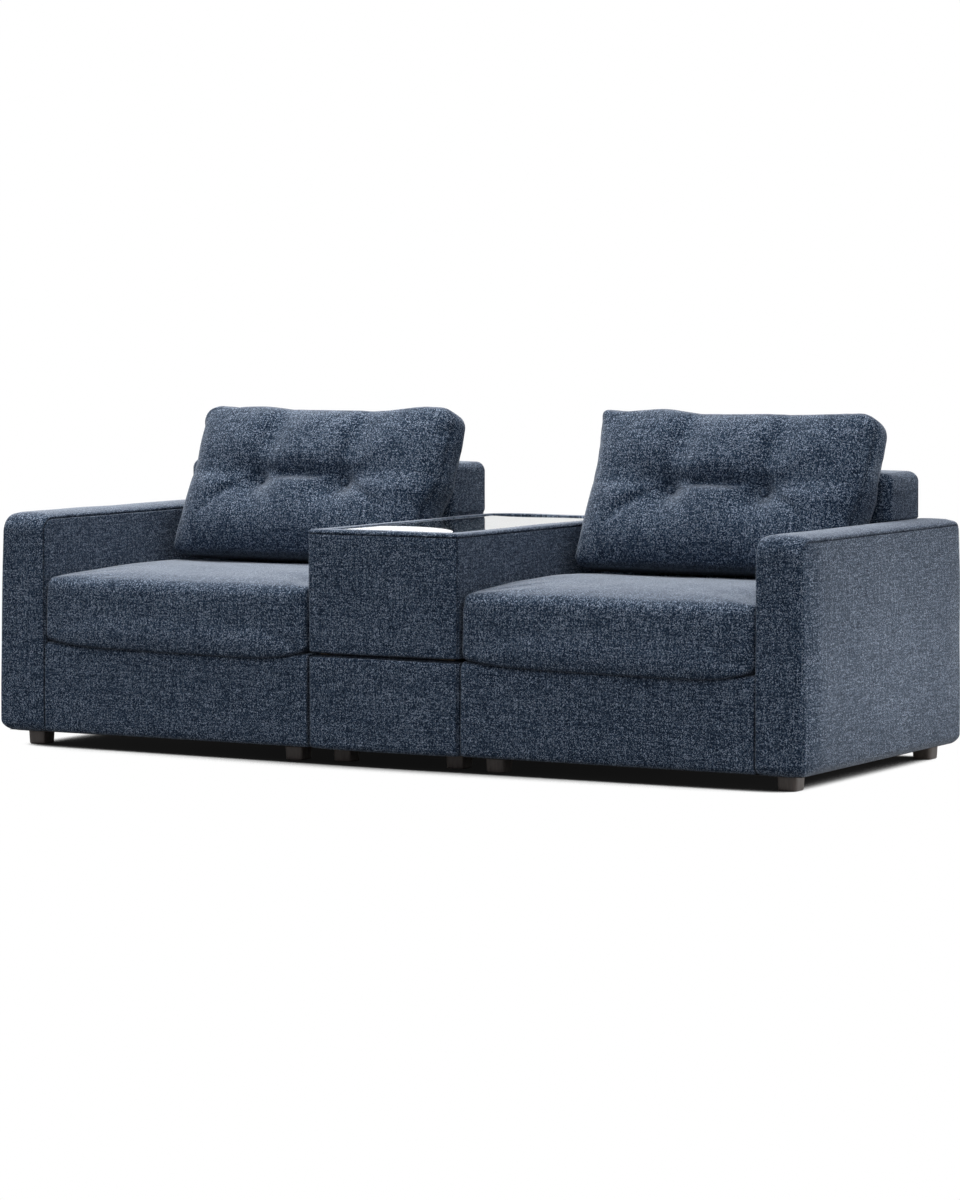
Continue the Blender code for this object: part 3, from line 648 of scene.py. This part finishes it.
# padded cover: a bent block whose panels swell a little and sink at their sewn edges,
# turned in at the hem and open below
def makeCover(name, kind, node, body, seed, outer=0, opening=None, beside=()):
    spec = covers[kind]
    seams = spec.get("seams")
    low, high = nodeBox(node)
    middle, half = (low + high) / 2, (high - low) / 2

    def keep(centre):
        floorFace = centre[:, 2] < low[2] + hair
        inside = np.minimum(centre[:, :2] - low[:2], high[:2] - centre[:, :2]).min(1)
        stays = ~floorFace | (inside < sewing["hem"])
        if opening is not None:
            topFace = centre[:, 2] > high[2] - hair
            hole = ((centre[:, :2] > opening[0][:2]) & (centre[:, :2] < opening[1][:2])).all(1)
            stays &= ~(topFace & hole)
        return stays

    box, quads = boxGrid(*coverLines(spec, low, high, opening, beside), keep)
    p, n, way, depth, profile = bendBlock(box, low, high, spec["radii"], spec["edge"])
    across = unit(np.abs(p[:, 0] - middle[0]) / half[0])
    under = unit(-profile[:, 1])  # 1 where the face looks down
    over = unit(profile[:, 1])  # 1 where the face looks up
    band = spec["band"] + (spec.get("top", spec["band"]) - spec["band"]) * over
    panel = spec["side"] * (1 - dip(depth, sewing["panelEase"]))
    swell = np.where(way > 0, panel, band * (1 - across ** 4))
    if "fade" in spec:
        lower, upper = spec["fade"]
        swell *= unit((high[2] - p[:, 2]) / upper) * unit((p[:, 2] - low[2]) / lower)
    # seams sink the cloth and darken its colour: the sewn joint's own dark and painted shade in the groove
    seam = np.zeros(len(p))
    if seams == "edges":
        seam = dip(way - sewing["place"], sewing["width"]) * (1 - under)
    if outer:
        onOuter = np.sign(p[:, 0] - middle[0]) == outer
        seam *= 1 - sewing["outerEase"] * facing(-profile[:, 0], sewing["frontGain"]) * onOuter
    if seams in ("corners", "lid"):
        seam = dip(way, sewing["width"]) * np.abs(profile[:, 0]) * sewing["corner"]
    if seams == "lid":
        lidLine = high[2] - sewing["lidDrop"]
        upright = unit(sewing["uprightFrom"] - sewing["uprightFall"] * np.abs(n[:, 2]))
        lidSeam = dip(box[:, 2] - lidLine, sewing["width"]) * upright
        seam = np.maximum(seam * (box[:, 2] < lidLine), lidSeam)
    if "joint" in spec:  # shaded groove where the console's two boxes meet
        seam = np.maximum(seam, dip(box[:, 2] - (low, high)[spec["joint"]][2], sewing["joint"]))
    uneven = waves(p, seed, spec["uneven"], sewing["waveLength"]) * (1 - under)
    offset = swell + uneven - sewing["depth"] * seam
    if opening is not None:  # border rolled down to the glass in a quarter round
        gap = np.maximum(opening[0][:2] - box[:, :2], box[:, :2] - opening[1][:2]).max(1)
        inRoll = unit(1 - gap / sewing["roll"]) * (box[:, 2] > high[2] - hair)
        offset -= sewing["roll"] * (1 - np.sqrt(unit(1 - inRoll ** 2)))
    points = p + n * offset[:, None]
    if outer:
        shapeOuter(points, spec, middle, half, outer)
    if beside:
        standOut(points, spec, middle, half, beside)
    piece = addPiece(name, clothMesh(name, points, quads, seam), "fabric", body, node)
    addWall(piece, sewing["wall"])


for number, side in enumerate(sides):
    for kind in ("arm", "base", "back"):
        makeCover(
            side + kind.capitalize() + "Cover", kind, f"{side}_{kind}_cover", side + "_chair",
            seed=11 * number + len(kind),
            outer=sides[side] if kind == "arm" else 0,
            beside=(side + "_arm_cover", "console_box_cover") if kind == "back" else (),
        )
makeCover("consoleBaseCover", "consoleBase", "console_base_cover", "console", seed=31)
glassLow, glassHigh = nodeBox("console_glass_top")
glassRoom = (glassLow - sewing["glassRoom"], glassHigh + sewing["glassRoom"])
makeCover("consoleBoxCover", "consoleBox", "console_box_cover", "console", seed=37, opening=glassRoom)
print("covers made")


stuffing = {"pressure": 4.0, "frames": 20, "mass": 0.35, "stretch": 18.0, "bend": 0.6}


def vertexPlaces(mesh):
    places = np.empty(len(mesh.vertices) * 3, dtype=np.float32)
    mesh.vertices.foreach_get("co", places)
    return places.reshape(-1, 3).astype(float)


# fabric bag blown up for a few frames, each point kept within cap of where it started
def inflate(points, quads, held, cap):
    scene = bpy.context.scene
    bag = bpy.data.objects.new("bag", clothMesh("bag", points, quads, np.zeros(len(points))))
    scene.collection.objects.link(bag)
    pins = bag.vertex_groups.new(name="held")
    pins.add(np.flatnonzero(held).tolist(), 1.0, "REPLACE")
    cloth = bag.modifiers.new("cloth", "CLOTH")
    fabric = cloth.settings
    fabric.use_pressure = True
    fabric.uniform_pressure_force = stuffing["pressure"]
    fabric.mass = stuffing["mass"]
    fabric.tension_stiffness = fabric.compression_stiffness = stuffing["stretch"]
    fabric.bending_stiffness = stuffing["bend"]
    fabric.effector_weights.gravity = 0
    fabric.vertex_group_mass = "held"
    cloth.collision_settings.use_collision = False
    for number in range(1, stuffing["frames"] + 1):
        scene.frame_set(number)
    move = vertexPlaces(bag.evaluated_get(bpy.context.evaluated_depsgraph_get()).data) - points
    mesh = bag.data
    bpy.data.objects.remove(bag)
    bpy.data.meshes.remove(mesh)
    scene.frame_set(1)
    size = np.maximum(np.linalg.norm(move, axis=1), 1e-9)
    print("  blown up by", round(size.mean() * 1000, 1), "mm, most", round(size.max() * 1000, 1))
    return points + move * (cap * np.tanh(size / cap) / size)[:, None]


# outward normals of a welded quad mesh, summed from its faces
def quadNormals(points, quads):
    faces = faceNormals(points[quads])
    normals = np.zeros_like(points)
    for spot in range(4):
        np.add.at(normals, quads[:, spot], faces)
    return normals / np.maximum(np.linalg.norm(normals, axis=1), 1e-12)[:, None]


def smoothMesh(piece):
    finer = piece.modifiers.new("finer", "SUBSURF")
    finer.levels = finer.render_levels = 1
    return piece


seat = {
    "boxing": 0.176, "radii": (0.024, 0.020, 0.034, 0.028), "edge": 0.011,
    "arch": {"left": 0.013, "right": 0.017},
    "frontSwell": 0.013, "frontReach": 0.030,
    "droop": 0.046, "droopReach": 0.016, "droopLean": 0.2,  # front that hangs over the base
    # lip gain: how fast the painted shade under the front edge comes in as its faces turn down
    "step": 0.0105, "cap": 0.006, "uneven": 0.0012, "waveLength": 0.22, "lipShadeGain": 2.5, "seed": 51,
    "held": {"under": 0.05, "rear": 0.97, "sides": 0.8, "sidesTo": 0.80},  # what isn't blown up
}


# seat cushion: a bent block whose top is arched from front to rear (one less the square)
# and whose front falls over smoothly, swells and hangs a little over the base
def makeSeat(side, seed):
    node = side + "_seat_cushion"
    low, high = nodeBox(node)
    flatHigh = np.array([high[0], high[1], low[2] + seat["boxing"]])
    box, quads = evenBox(low, flatHigh, seat["step"])
    p, n, _, _, profile = bendBlock(box, low, flatHigh, seat["radii"], seat["edge"])
    middle, half = (low + flatHigh) / 2, (flatHigh - low) / 2
    a, b = (p[:, 0] - middle[0]) / half[0], (p[:, 1] - middle[1]) / half[1]
    level = unit((p[:, 2] - low[2]) / seat["boxing"])
    p[:, 2] += seat["arch"][side] * (1 - b ** 2) * level
    near = unit((low[1] + seat["frontReach"] - p[:, 1]) / seat["frontReach"])
    hangs = unit((low[1] + seat["droopReach"] - p[:, 1]) / seat["droopReach"])
    p[:, 1] -= seat["frontSwell"] * (1 - a ** 8) * (1 - level ** 4) * near
    hangs = smoothStep(hangs) * (1 - level) ** 3
    p[:, 2] -= seat["droop"] * (1 - a ** 6) * (1 + seat["droopLean"] * a) * hangs
    lipShade = facing(-profile[:, 1], seat["lipShadeGain"]) * (b < 0)  # painted shade along the cushion's lower front edge where it meets the base, with its sewn welt; carried as a seam
    held = seat["held"]
    onSide = (np.abs(n[:, 0]) > held["sides"]) & (level < held["sidesTo"])
    p = inflate(p, quads, (level < held["under"]) | (b > held["rear"]) | onSide, seat["cap"])
    p += quadNormals(p, quads) * (waves(p, seed, seat["uneven"], seat["waveLength"]) * level)[:, None]
    p[:, 0] = np.clip(p[:, 0], low[0], high[0])
    p[:, 1] = np.minimum(p[:, 1], high[1])
    behind = p[:, 1] > low[1] + seat["frontReach"]
    p[:, 2] = np.where(behind, np.maximum(p[:, 2], low[2]), p[:, 2])
    piece = addPiece(side + "SeatCushion", clothMesh(node, p, quads, lipShade), "fabric", node, node)
    smoothMesh(piece)


pillow = {
    "lean": 23.0, "boxing": 0.070, "edge": 0.013, "taper": 0.022, "step": 0.0095, "cap": 0.014,
    "crown": 0.072, "belly": 0.24, "rearCrown": 0.026, "gusset": 0.004, "uneven": 0.0012, "waveLength": 0.16,
    "corners": {"left": (0.030, 0.030, 0.050, 0.056), "right": (0.030, 0.030, 0.062, 0.016)},
    "slouch": {"left": 0.026, "right": 0.016},
    "reach": {"left": 0.034, "right": 0.018},  # how far its right end spreads over what stands beside it
    "reachFrom": -0.40, "reachOver": 0.45, "reachFade": 0.4,
    "trim": {"left": 0.007, "right": 0.0},
    "sag": {"left": 0.007, "right": 0.003},
    "sink": {"left": 0.017, "right": 0.011},  # how far the top has settled
    "bumps": {"left": ((-0.20, 0.006), (0.31, 0.009)), "right": ((-0.22, 0.010), (0.10, 0.002))},
    "bumpWidth": 0.07,
    "heel": 0.080, "heelTop": 0.2,  # how far the lower rear fills the room in front of the back
    "seamWidth": 0.0045, "seamDepth": 0.003, "seamShade": 0.5, "seed": 61,
    "held": {"under": -0.97, "rear": 0.02, "rearFrom": -0.2, "rearTo": 0.4, "button": 0.02, "front": 0.9},
}
tuft = {
    "span": 0.276, "drop": 0.018,  # place of the buttons
    "early": 0.4,  # share drawn in before the cushion is blown up
    "hole": 0.058, "holeFlat": 0.010, "holeReach": 0.050, "holePower": 1.3,
    "valley": 0.032, "valleyWidths": (0.022, 0.036), "valleyEnd": 0.012, "arch": 0.016,
    "wing": 0.040, "wingWidths": (0.026, 0.060), "wingRise": 0.030, "wingFade": 0.6,
    "fold": 0.024, "foldWidths": (0.034, 0.060), "foldLean": 0.030, "foldRun": 0.22,
    "tail": 0.016, "tailWidths": (0.034, 0.022), "tailLean": -0.020, "tailRun": 0.18,
}
leanBack = np.radians(pillow["lean"])
leanTurn = np.array([
    [1, 0, 0],
    [0, np.cos(leanBack), -np.sin(leanBack)],
    [0, np.sin(leanBack), np.cos(leanBack)],
])


# dent with one steep and one easy side, full at 0
def fold(way, below, above):
    return np.exp(-((way / np.where(way < 0, below, above)) ** 2))


# how far the front is drawn in: a round hole at each button, an arched valley between the
# buttons, valleys that climb from them to the sides, creases up to the top and down
def tuftPull(x, z):
    half, level = tuft["span"] / 2, -tuft["drop"]
    arch = level + tuft["arch"] * (1 - np.clip(x / half, -1, 1) ** 2)
    inside = 1 / (1 + np.exp((np.abs(x) - half) / tuft["valleyEnd"]))
    pull = tuft["valley"] * fold(z - arch, *tuft["valleyWidths"]) * inside
    out = np.clip((np.abs(x) - half) / half, 0, 2)
    climb = level + tuft["wingRise"] * out * (1 - out / 4)
    wing = tuft["wing"] * fold(z - climb, *tuft["wingWidths"]) * (1 - inside)
    pull = np.maximum(pull, wing * np.exp(-tuft["wingFade"] * out))
    for spot in (-half, half):
        rise = unit((z - level) / tuft["foldRun"])
        sink = unit((level - z) / tuft["tailRun"])
        upper = tuft["fold"] * fold(x - spot - tuft["foldLean"] * rise, *tuft["foldWidths"])
        lower = tuft["tail"] * fold(x - spot - tuft["tailLean"] * sink, *tuft["tailWidths"]) * (1 - sink)
        pull = np.maximum(pull, np.maximum(upper * (z > level), lower * (z < level)))
        away = np.maximum(np.hypot(x - spot, z - level) - tuft["holeFlat"], 0)
        hole = tuft["hole"] * np.exp(-((away / tuft["holeReach"]) ** tuft["holePower"]))
        pull = np.maximum(pull, hole)
    return pull


# back cushion, worked out upright and then leaned back: a box whose front and rear panels
# swell between sewn edges (one less the fourth power each way), drawn in by its buttons,
# narrower below, with its top slouched to one side and its lower rear filled out
def makePillow(side, seed):
    node = side + "_back_cushion"
    solid = vertexPlaces(nodes[node].data) @ leanTurn.T
    low, high = solid.min(0), solid.max(0)
    slouch, boxing = pillow["slouch"][side], pillow["boxing"]
    width, height = high[0] - low[0] + pillow["taper"] / 2 - slouch, high[2] - low[2]
    centre = np.array([
        high[0] - width / 2 - slouch,
        high[1] - boxing / 2 - pillow["rearCrown"],
        (low[2] + high[2]) / 2,
    ])
    size = np.array([width, boxing, height])
    box, quads = evenBox(-size / 2, size / 2, pillow["step"])
    swap = [1, 0, 2]  # the two panels face along Y here
    p, _, way, _, _ = bendBlock(
        box[:, swap], -size[swap] / 2, size[swap] / 2, pillow["corners"][side], pillow["edge"]
    )
    p = p[:, swap]
    x, z = p[:, 0].copy(), p[:, 2].copy()
    a, b = 2 * x / width, 2 * z / height
    frontShare = unit(0.5 - p[:, 1] / boxing)
    crown = (1 - a ** 4) * (1 - b ** 4)
    front = pillow["crown"] * crown * (1 - pillow["belly"] * b) * frontShare ** 3
    rear = pillow["rearCrown"] * crown * (1 - frontShare) ** 3
    p[:, 1] += rear - front
    gusset = pillow["gusset"] * (1 - (2 * frontShare - 1) ** 2)
    p[:, 0] += np.sign(a) * gusset * (np.abs(a) > np.abs(b))
    pull = tuftPull(x, z) * crown * frontShare ** 3
    p[:, 1] += tuft["early"] * pull
    held = pillow["held"]
    onBack = (frontShare < held["rear"]) & (b > held["rearFrom"]) & (b < held["rearTo"])
    fromButton = np.hypot(np.abs(x) - tuft["span"] / 2, z + tuft["drop"])
    atButton = (fromButton < held["button"]) & (frontShare > held["front"])
    p = inflate(p, quads, (b < held["under"]) | onBack | atButton, pillow["cap"])
    p[:, 1] += (1 - tuft["early"]) * pull
    p += quadNormals(p, quads) * (waves(p, seed, pillow["uneven"], pillow["waveLength"]) * crown)[:, None]
    settled = np.full(len(p), pillow["sink"][side])
    for spot, rise in pillow["bumps"][side]:
        settled -= rise * dip(x - spot, pillow["bumpWidth"])
    p[:, 2] -= settled * unit((1 + b) / 2) ** 2
    p[:, 0] = p[:, 0] * (1 - pillow["taper"] * (1 - b) / 2 / width) + slouch * (1 + b) / 2
    spread = smoothStep(unit((b - pillow["reachFrom"]) / pillow["reachOver"]))
    spread *= 1 - pillow["reachFade"] * unit(2 * b - 1)
    p[:, 0] += pillow["reach"][side] * unit(a) ** 4 * spread
    p[:, 0] += pillow["trim"][side] * unit(-a) ** 4
    p[:, 2] -= pillow["sag"][side] * unit((1 - b) / 2) ** 2
    # seam: sinks the cloth and, at half strength, darkens its colour: the sewn joint's own dark and painted
    # shade in the groove
    seam = dip(way, pillow["seamWidth"])
    p -= quadNormals(p, quads) * (pillow["seamDepth"] * seam)[:, None]
    p = (p + centre) @ leanTurn
    p[:, 1] += pillow["heel"] * (1 - frontShare) * unit(pillow["heelTop"] - b)
    mesh = clothMesh(node, p, quads, seam * pillow["seamShade"], centre @ leanTurn, leanTurn.T)
    piece = addPiece(side + "BackCushion", mesh, "fabric", node, node)
    smoothMesh(piece)


button = {"radius": 0.0125, "height": 0.0075, "sink": 0.004, "points": 13}


# covered button: a box drawn into a round dome, its height the root of one less the square
# of the way from the middle
def makeButton(node, side, column):
    line = np.linspace(-1, 1, button["points"])
    box, quads = boxGrid(line, np.linspace(-1, 1, 3), line)
    x, z = roundCorner(box[:, 0], box[:, 2])
    dome = np.sqrt(unit(1 - x ** 2 - z ** 2))
    y = np.where(box[:, 1] < 0, -button["height"] * dome, button["sink"] * dome)
    middle = nodeMiddle(node)
    p = np.stack([x * button["radius"], y, z * button["radius"]], 1) @ leanTurn + middle
    mesh = clothMesh(node, p, quads, np.zeros(len(p)), middle, leanTurn.T)
    name = f"{side}TuftButton{column.capitalize()}"
    smoothMesh(addPiece(name, mesh, "fabric", side + "_back_cushion", node))


for number, side in enumerate(sides):
    makeSeat(side, seat["seed"] + number)
    makePillow(side, pillow["seed"] + number)
    for column in ("left", "right"):
        makeButton(f"{side}_tuft_button_{column}", side, column)
print("cushions made")


leg = {"round": 7.0, "foot": 0.93, "edge": 0.004, "points": 13, "levels": 6}


# leg: a box whose levels are drawn into rounded squares (high powers of cosine and sine),
# narrower towards a foot whose lowest edge is rounded off
def makeLeg(name, node, body):
    low, high = nodeBox(node)
    middle, half, tall = (low + high) / 2, (high - low) / 2, high[2] - low[2]
    line = np.linspace(-1, 1, leg["points"])
    edge = np.array([0, 0.1, 0.3, 0.6, 1.0]) * leg["edge"]
    levels = np.concatenate([edge, np.linspace(edge[-1], tall, leg["levels"])[1:]])
    box, quads = boxGrid(line, line, levels)
    u, v, up = box.T
    reach = np.maximum(np.abs(u), np.abs(v))
    spin = np.arctan2(v, u)
    power = leg["round"]
    square = (np.abs(np.cos(spin)) ** power + np.abs(np.sin(spin)) ** power) ** (-1 / power)
    taper = leg["foot"] + (1 - leg["foot"]) * (up / tall)
    lift = unit(1 - up / leg["edge"])
    shrink = 1 - leg["edge"] / half[0] * (1 - np.sqrt(1 - lift ** 2))
    wide = reach * square * taper * shrink
    x, y = middle[0] + half[0] * wide * np.cos(spin), middle[1] + half[1] * wide * np.sin(spin)
    p = np.stack([x, y, low[2] + up], 1)
    addPiece(name, clothMesh(name, p, quads, np.zeros(len(p))), "leg_wood", body, node)


bodies = {"left": "left_chair", "right": "right_chair", "console": "console"}
for module, body in bodies.items():
    for row in ("front", "rear"):
        for column in ("left", "right"):
            name = f"{module}Leg{row.capitalize()}{column.capitalize()}"
            makeLeg(name, f"{module}_leg_{row}_{column}", body)


dust = {"sag": 0.006, "thick": 0.0009, "step": 0.03, "ripple": 0.0006, "rippleLength": 0.2, "seed": 5}


# dust cover: cloth stretched under a module, sagging as one less the square each way
def makeDustCover(module, body):
    node = module + "_dust_cover"
    low, high = nodeBox(node)
    wide, deep, _ = high - low
    x, y = np.meshgrid(
        np.linspace(low[0], high[0], int(wide / dust["step"])),
        np.linspace(low[1], high[1], int(deep / dust["step"])),
        indexing="ij",
    )
    a, b = 2 * (x - low[0]) / wide - 1, 2 * (y - low[1]) / deep - 1
    flat = np.stack([x, y, np.full_like(x, high[2])], -1).reshape(-1, 3)
    sag = ((1 - a ** 2) * (1 - b ** 2)).ravel()
    flat[:, 2] -= dust["sag"] * sag + waves(flat, dust["seed"], dust["ripple"], dust["rippleLength"]) * sag
    mesh = clothMesh(node, flat, gridQuads(*x.shape), np.zeros(len(flat)))
    piece = addPiece(module + "DustCover", mesh, "dust_cloth", body, node)
    addWall(piece, dust["thick"])


for module, body in bodies.items():
    makeDustCover(module, body)
print("legs and dust covers made")


slots = {
    "frame": "timber", "carcass": "timber", "spring": "spring_steel", "hook": "bracket_steel",
    "catch": "bracket_steel", "bed": "bed_board", "glass": "glass",
}
for name, solid in nodes.items():
    found = [slots[word] for word in reversed(name.split("_")) if word in slots]
    if found:
        for place in solid.material_slots:
            place.material = looks[found[0]]
print("frame pieces finished")


studio = {
    "camera": (5.5424, -9.7811, 1.2149), "yaw": 29.45, "pitch": 4.112,
    "lens": 126.33, "sensor": 36.0, "far": 60,
    "world": 0.51, "sky": (0.92, 0.98, 1.09),
    "glow": (  # axis and way of what lights more or less, how much, and its share on a front
        ("Z", 1.0, 8.5, 0.424), ("Y", -1.0, 0.6, 0.667), ("X", 1.0, -0.95, 0.212),
    ),
    "floor": 0.16, "floorSize": 30.0,
    "shadow": ((0.0, 0.005), (0.38, 0.008), (0.46, 0.05), (0.55, 0.45), (0.65, 1.0)),  # open sky, brightness
    "shadowLean": 0.8, "shadowSides": 1.2, "shadowUp": 0.66,  # light comes in under both arms
    "shadowReach": 0.30, "shadowSamples": 24, "shadowEnd": 2.6,
    "lamps": {
        "topSoftbox": {"place": (-1.1, -0.1, 4.0), "aim": (0, 0, 0.4), "size": (2.8, 2.2), "power": 90},
        "sideStrip": {"place": (1.78, 0, 0.08), "aim": (1.25, 0, 0.95), "size": (1.3, 0.16), "power": 4.3},
        "glassCard": {  # seen by gloss alone, as the pale strip on the glass
            "place": (-0.280, 0.008, 0.640), "aim": (-0.050, -0.392, 0.622),
            "size": (0.368, 0.031), "power": 0.0385, "card": True,
        },
    },
}


def makeStudio():
    scene = bpy.context.scene
    scene.view_settings.view_transform = "Standard"
    lens = bpy.data.cameras.new("camera")
    lens.lens, lens.sensor_width = studio["lens"], studio["sensor"]
    lens.clip_end = studio["far"]
    camera = bpy.data.objects.new("camera", lens)
    camera.location = studio["camera"]
    camera.rotation_euler = (np.pi / 2 - np.radians(studio["pitch"]), 0, np.radians(studio["yaw"]))
    scene.collection.objects.link(camera)
    scene.camera = camera
    for name, spec in studio["lamps"].items():
        lamp = bpy.data.lights.new(name, "AREA")
        lamp.shape = "ELLIPSE" if spec.get("card") else "RECTANGLE"
        lamp.size, lamp.size_y = spec["size"]
        lamp.energy = spec["power"]
        box = bpy.data.objects.new(name, lamp)
        box.location = spec["place"]
        box.rotation_euler = (Vector(spec["aim"]) - Vector(spec["place"])).to_track_quat("-Z", "Y").to_euler()
        box.visible_camera = False
        box.visible_diffuse = not spec.get("card")
        scene.collection.objects.link(box)


# one value where the camera, a gloss or glass looks, and another for the light on everything else
def seenOrLit(tree, seen, lit):
    path = newNode(tree, "LightPath")
    look = calc(tree, "MAXIMUM", path.outputs["Is Camera Ray"], path.outputs["Is Glossy Ray"])
    look = calc(tree, "MAXIMUM", look, path.outputs["Is Transmission Ray"])
    rest = times(tree, minus(tree, 1.0, look), lit)
    return calc(tree, "MULTIPLY_ADD", look, seen, rest)


def mixShaders(tree, share, first, second):
    node = newNode(tree, "MixShader")
    for socket, value in zip(node.inputs, (share, first.outputs[0], second.outputs[0])):
        tree.links.new(value, socket)
    return node


# white sky: its light is even, plus shares of how far a ray goes up or ahead, less one of how far
# it goes right, all brought to the level that keeps fronts as lit
def makeBackdrop():
    world = bpy.data.worlds.new("studio")
    bpy.context.scene.world = world
    world.use_nodes = True
    tree = world.node_tree
    sky = tree.nodes["Background"]
    split = newNode(tree, "SeparateXYZ", Vector=newNode(tree, "TexCoord").outputs["Generated"])
    level = studio["world"] / (1 + sum(more * share for _, _, more, share in studio["glow"]))
    lit = level
    for axis, sign, more, _ in studio["glow"]:
        toward = calc(tree, "MAXIMUM", times(tree, split.outputs[axis], sign), 0.0)
        lit = calc(tree, "MULTIPLY_ADD", toward, level * more, lit)
    feed(tree, sky.inputs["Strength"], seenOrLit(tree, 1.0, lit))
    diffuse = newNode(tree, "LightPath").outputs["Is Diffuse Ray"]
    feed(tree, sky.inputs["Color"], blendColours(tree, diffuse, (1.0, 1.0, 1.0), studio["sky"]))
    size = studio["floorSize"]
    mesh = bpy.data.meshes.new("floor")
    corners = [(-size, -size, 0), (size, -size, 0), (size, size, 0), (-size, size, 0)]
    mesh.from_pydata(corners, [], [(0, 1, 2, 3)])
    floor = bpy.data.objects.new("floor", mesh)
    bpy.context.scene.collection.objects.link(floor)
    mesh.materials.append(makeFloor())


# pale floor: lit as it is for the object, and white where it is looked at, down to black
# where the object shuts off most of the sky over it
def makeFloor():
    made, tree, shader = newMaterial("paleFloor", Roughness=1.0, Specular_IOR_Level=0.0)
    shader.inputs["Base Color"].default_value = (*[studio["floor"]] * 3, 1)
    place = newNode(tree, "TexCoord").outputs["Object"]
    across = newNode(tree, "SeparateXYZ", Vector=place).outputs["X"]
    lean = calc(tree, "MINIMUM", across, studio["shadowSides"])
    lean = calc(tree, "MAXIMUM", lean, -studio["shadowSides"])
    lean = vectorOf(tree, times(tree, lean, studio["shadowLean"]), 0.0, studio["shadowUp"])
    sky = newNode(tree, "AmbientOcclusion", Distance=studio["shadowReach"], Normal=lean)
    sky.samples = studio["shadowSamples"]
    greys = [(part, (grey,) * 3) for part, grey in studio["shadow"]]
    shade = ramp(tree, sky.outputs["AO"], greys, "EASE")
    white, near = newNode(tree, "Emission"), newNode(tree, "Emission", Color=shade)
    spread = newNode(tree, "VectorMath", Vector=place)
    spread.operation = "LENGTH"
    distant = calc(tree, "GREATER_THAN", spread.outputs["Value"], studio["shadowEnd"])
    seen = mixShaders(tree, distant, near, white)
    final = mixShaders(tree, seenOrLit(tree, 1.0, 0.0), shader, seen)
    tree.links.new(final.outputs[0], tree.nodes["Material Output"].inputs["Surface"])
    return made


makeStudio()
makeBackdrop()
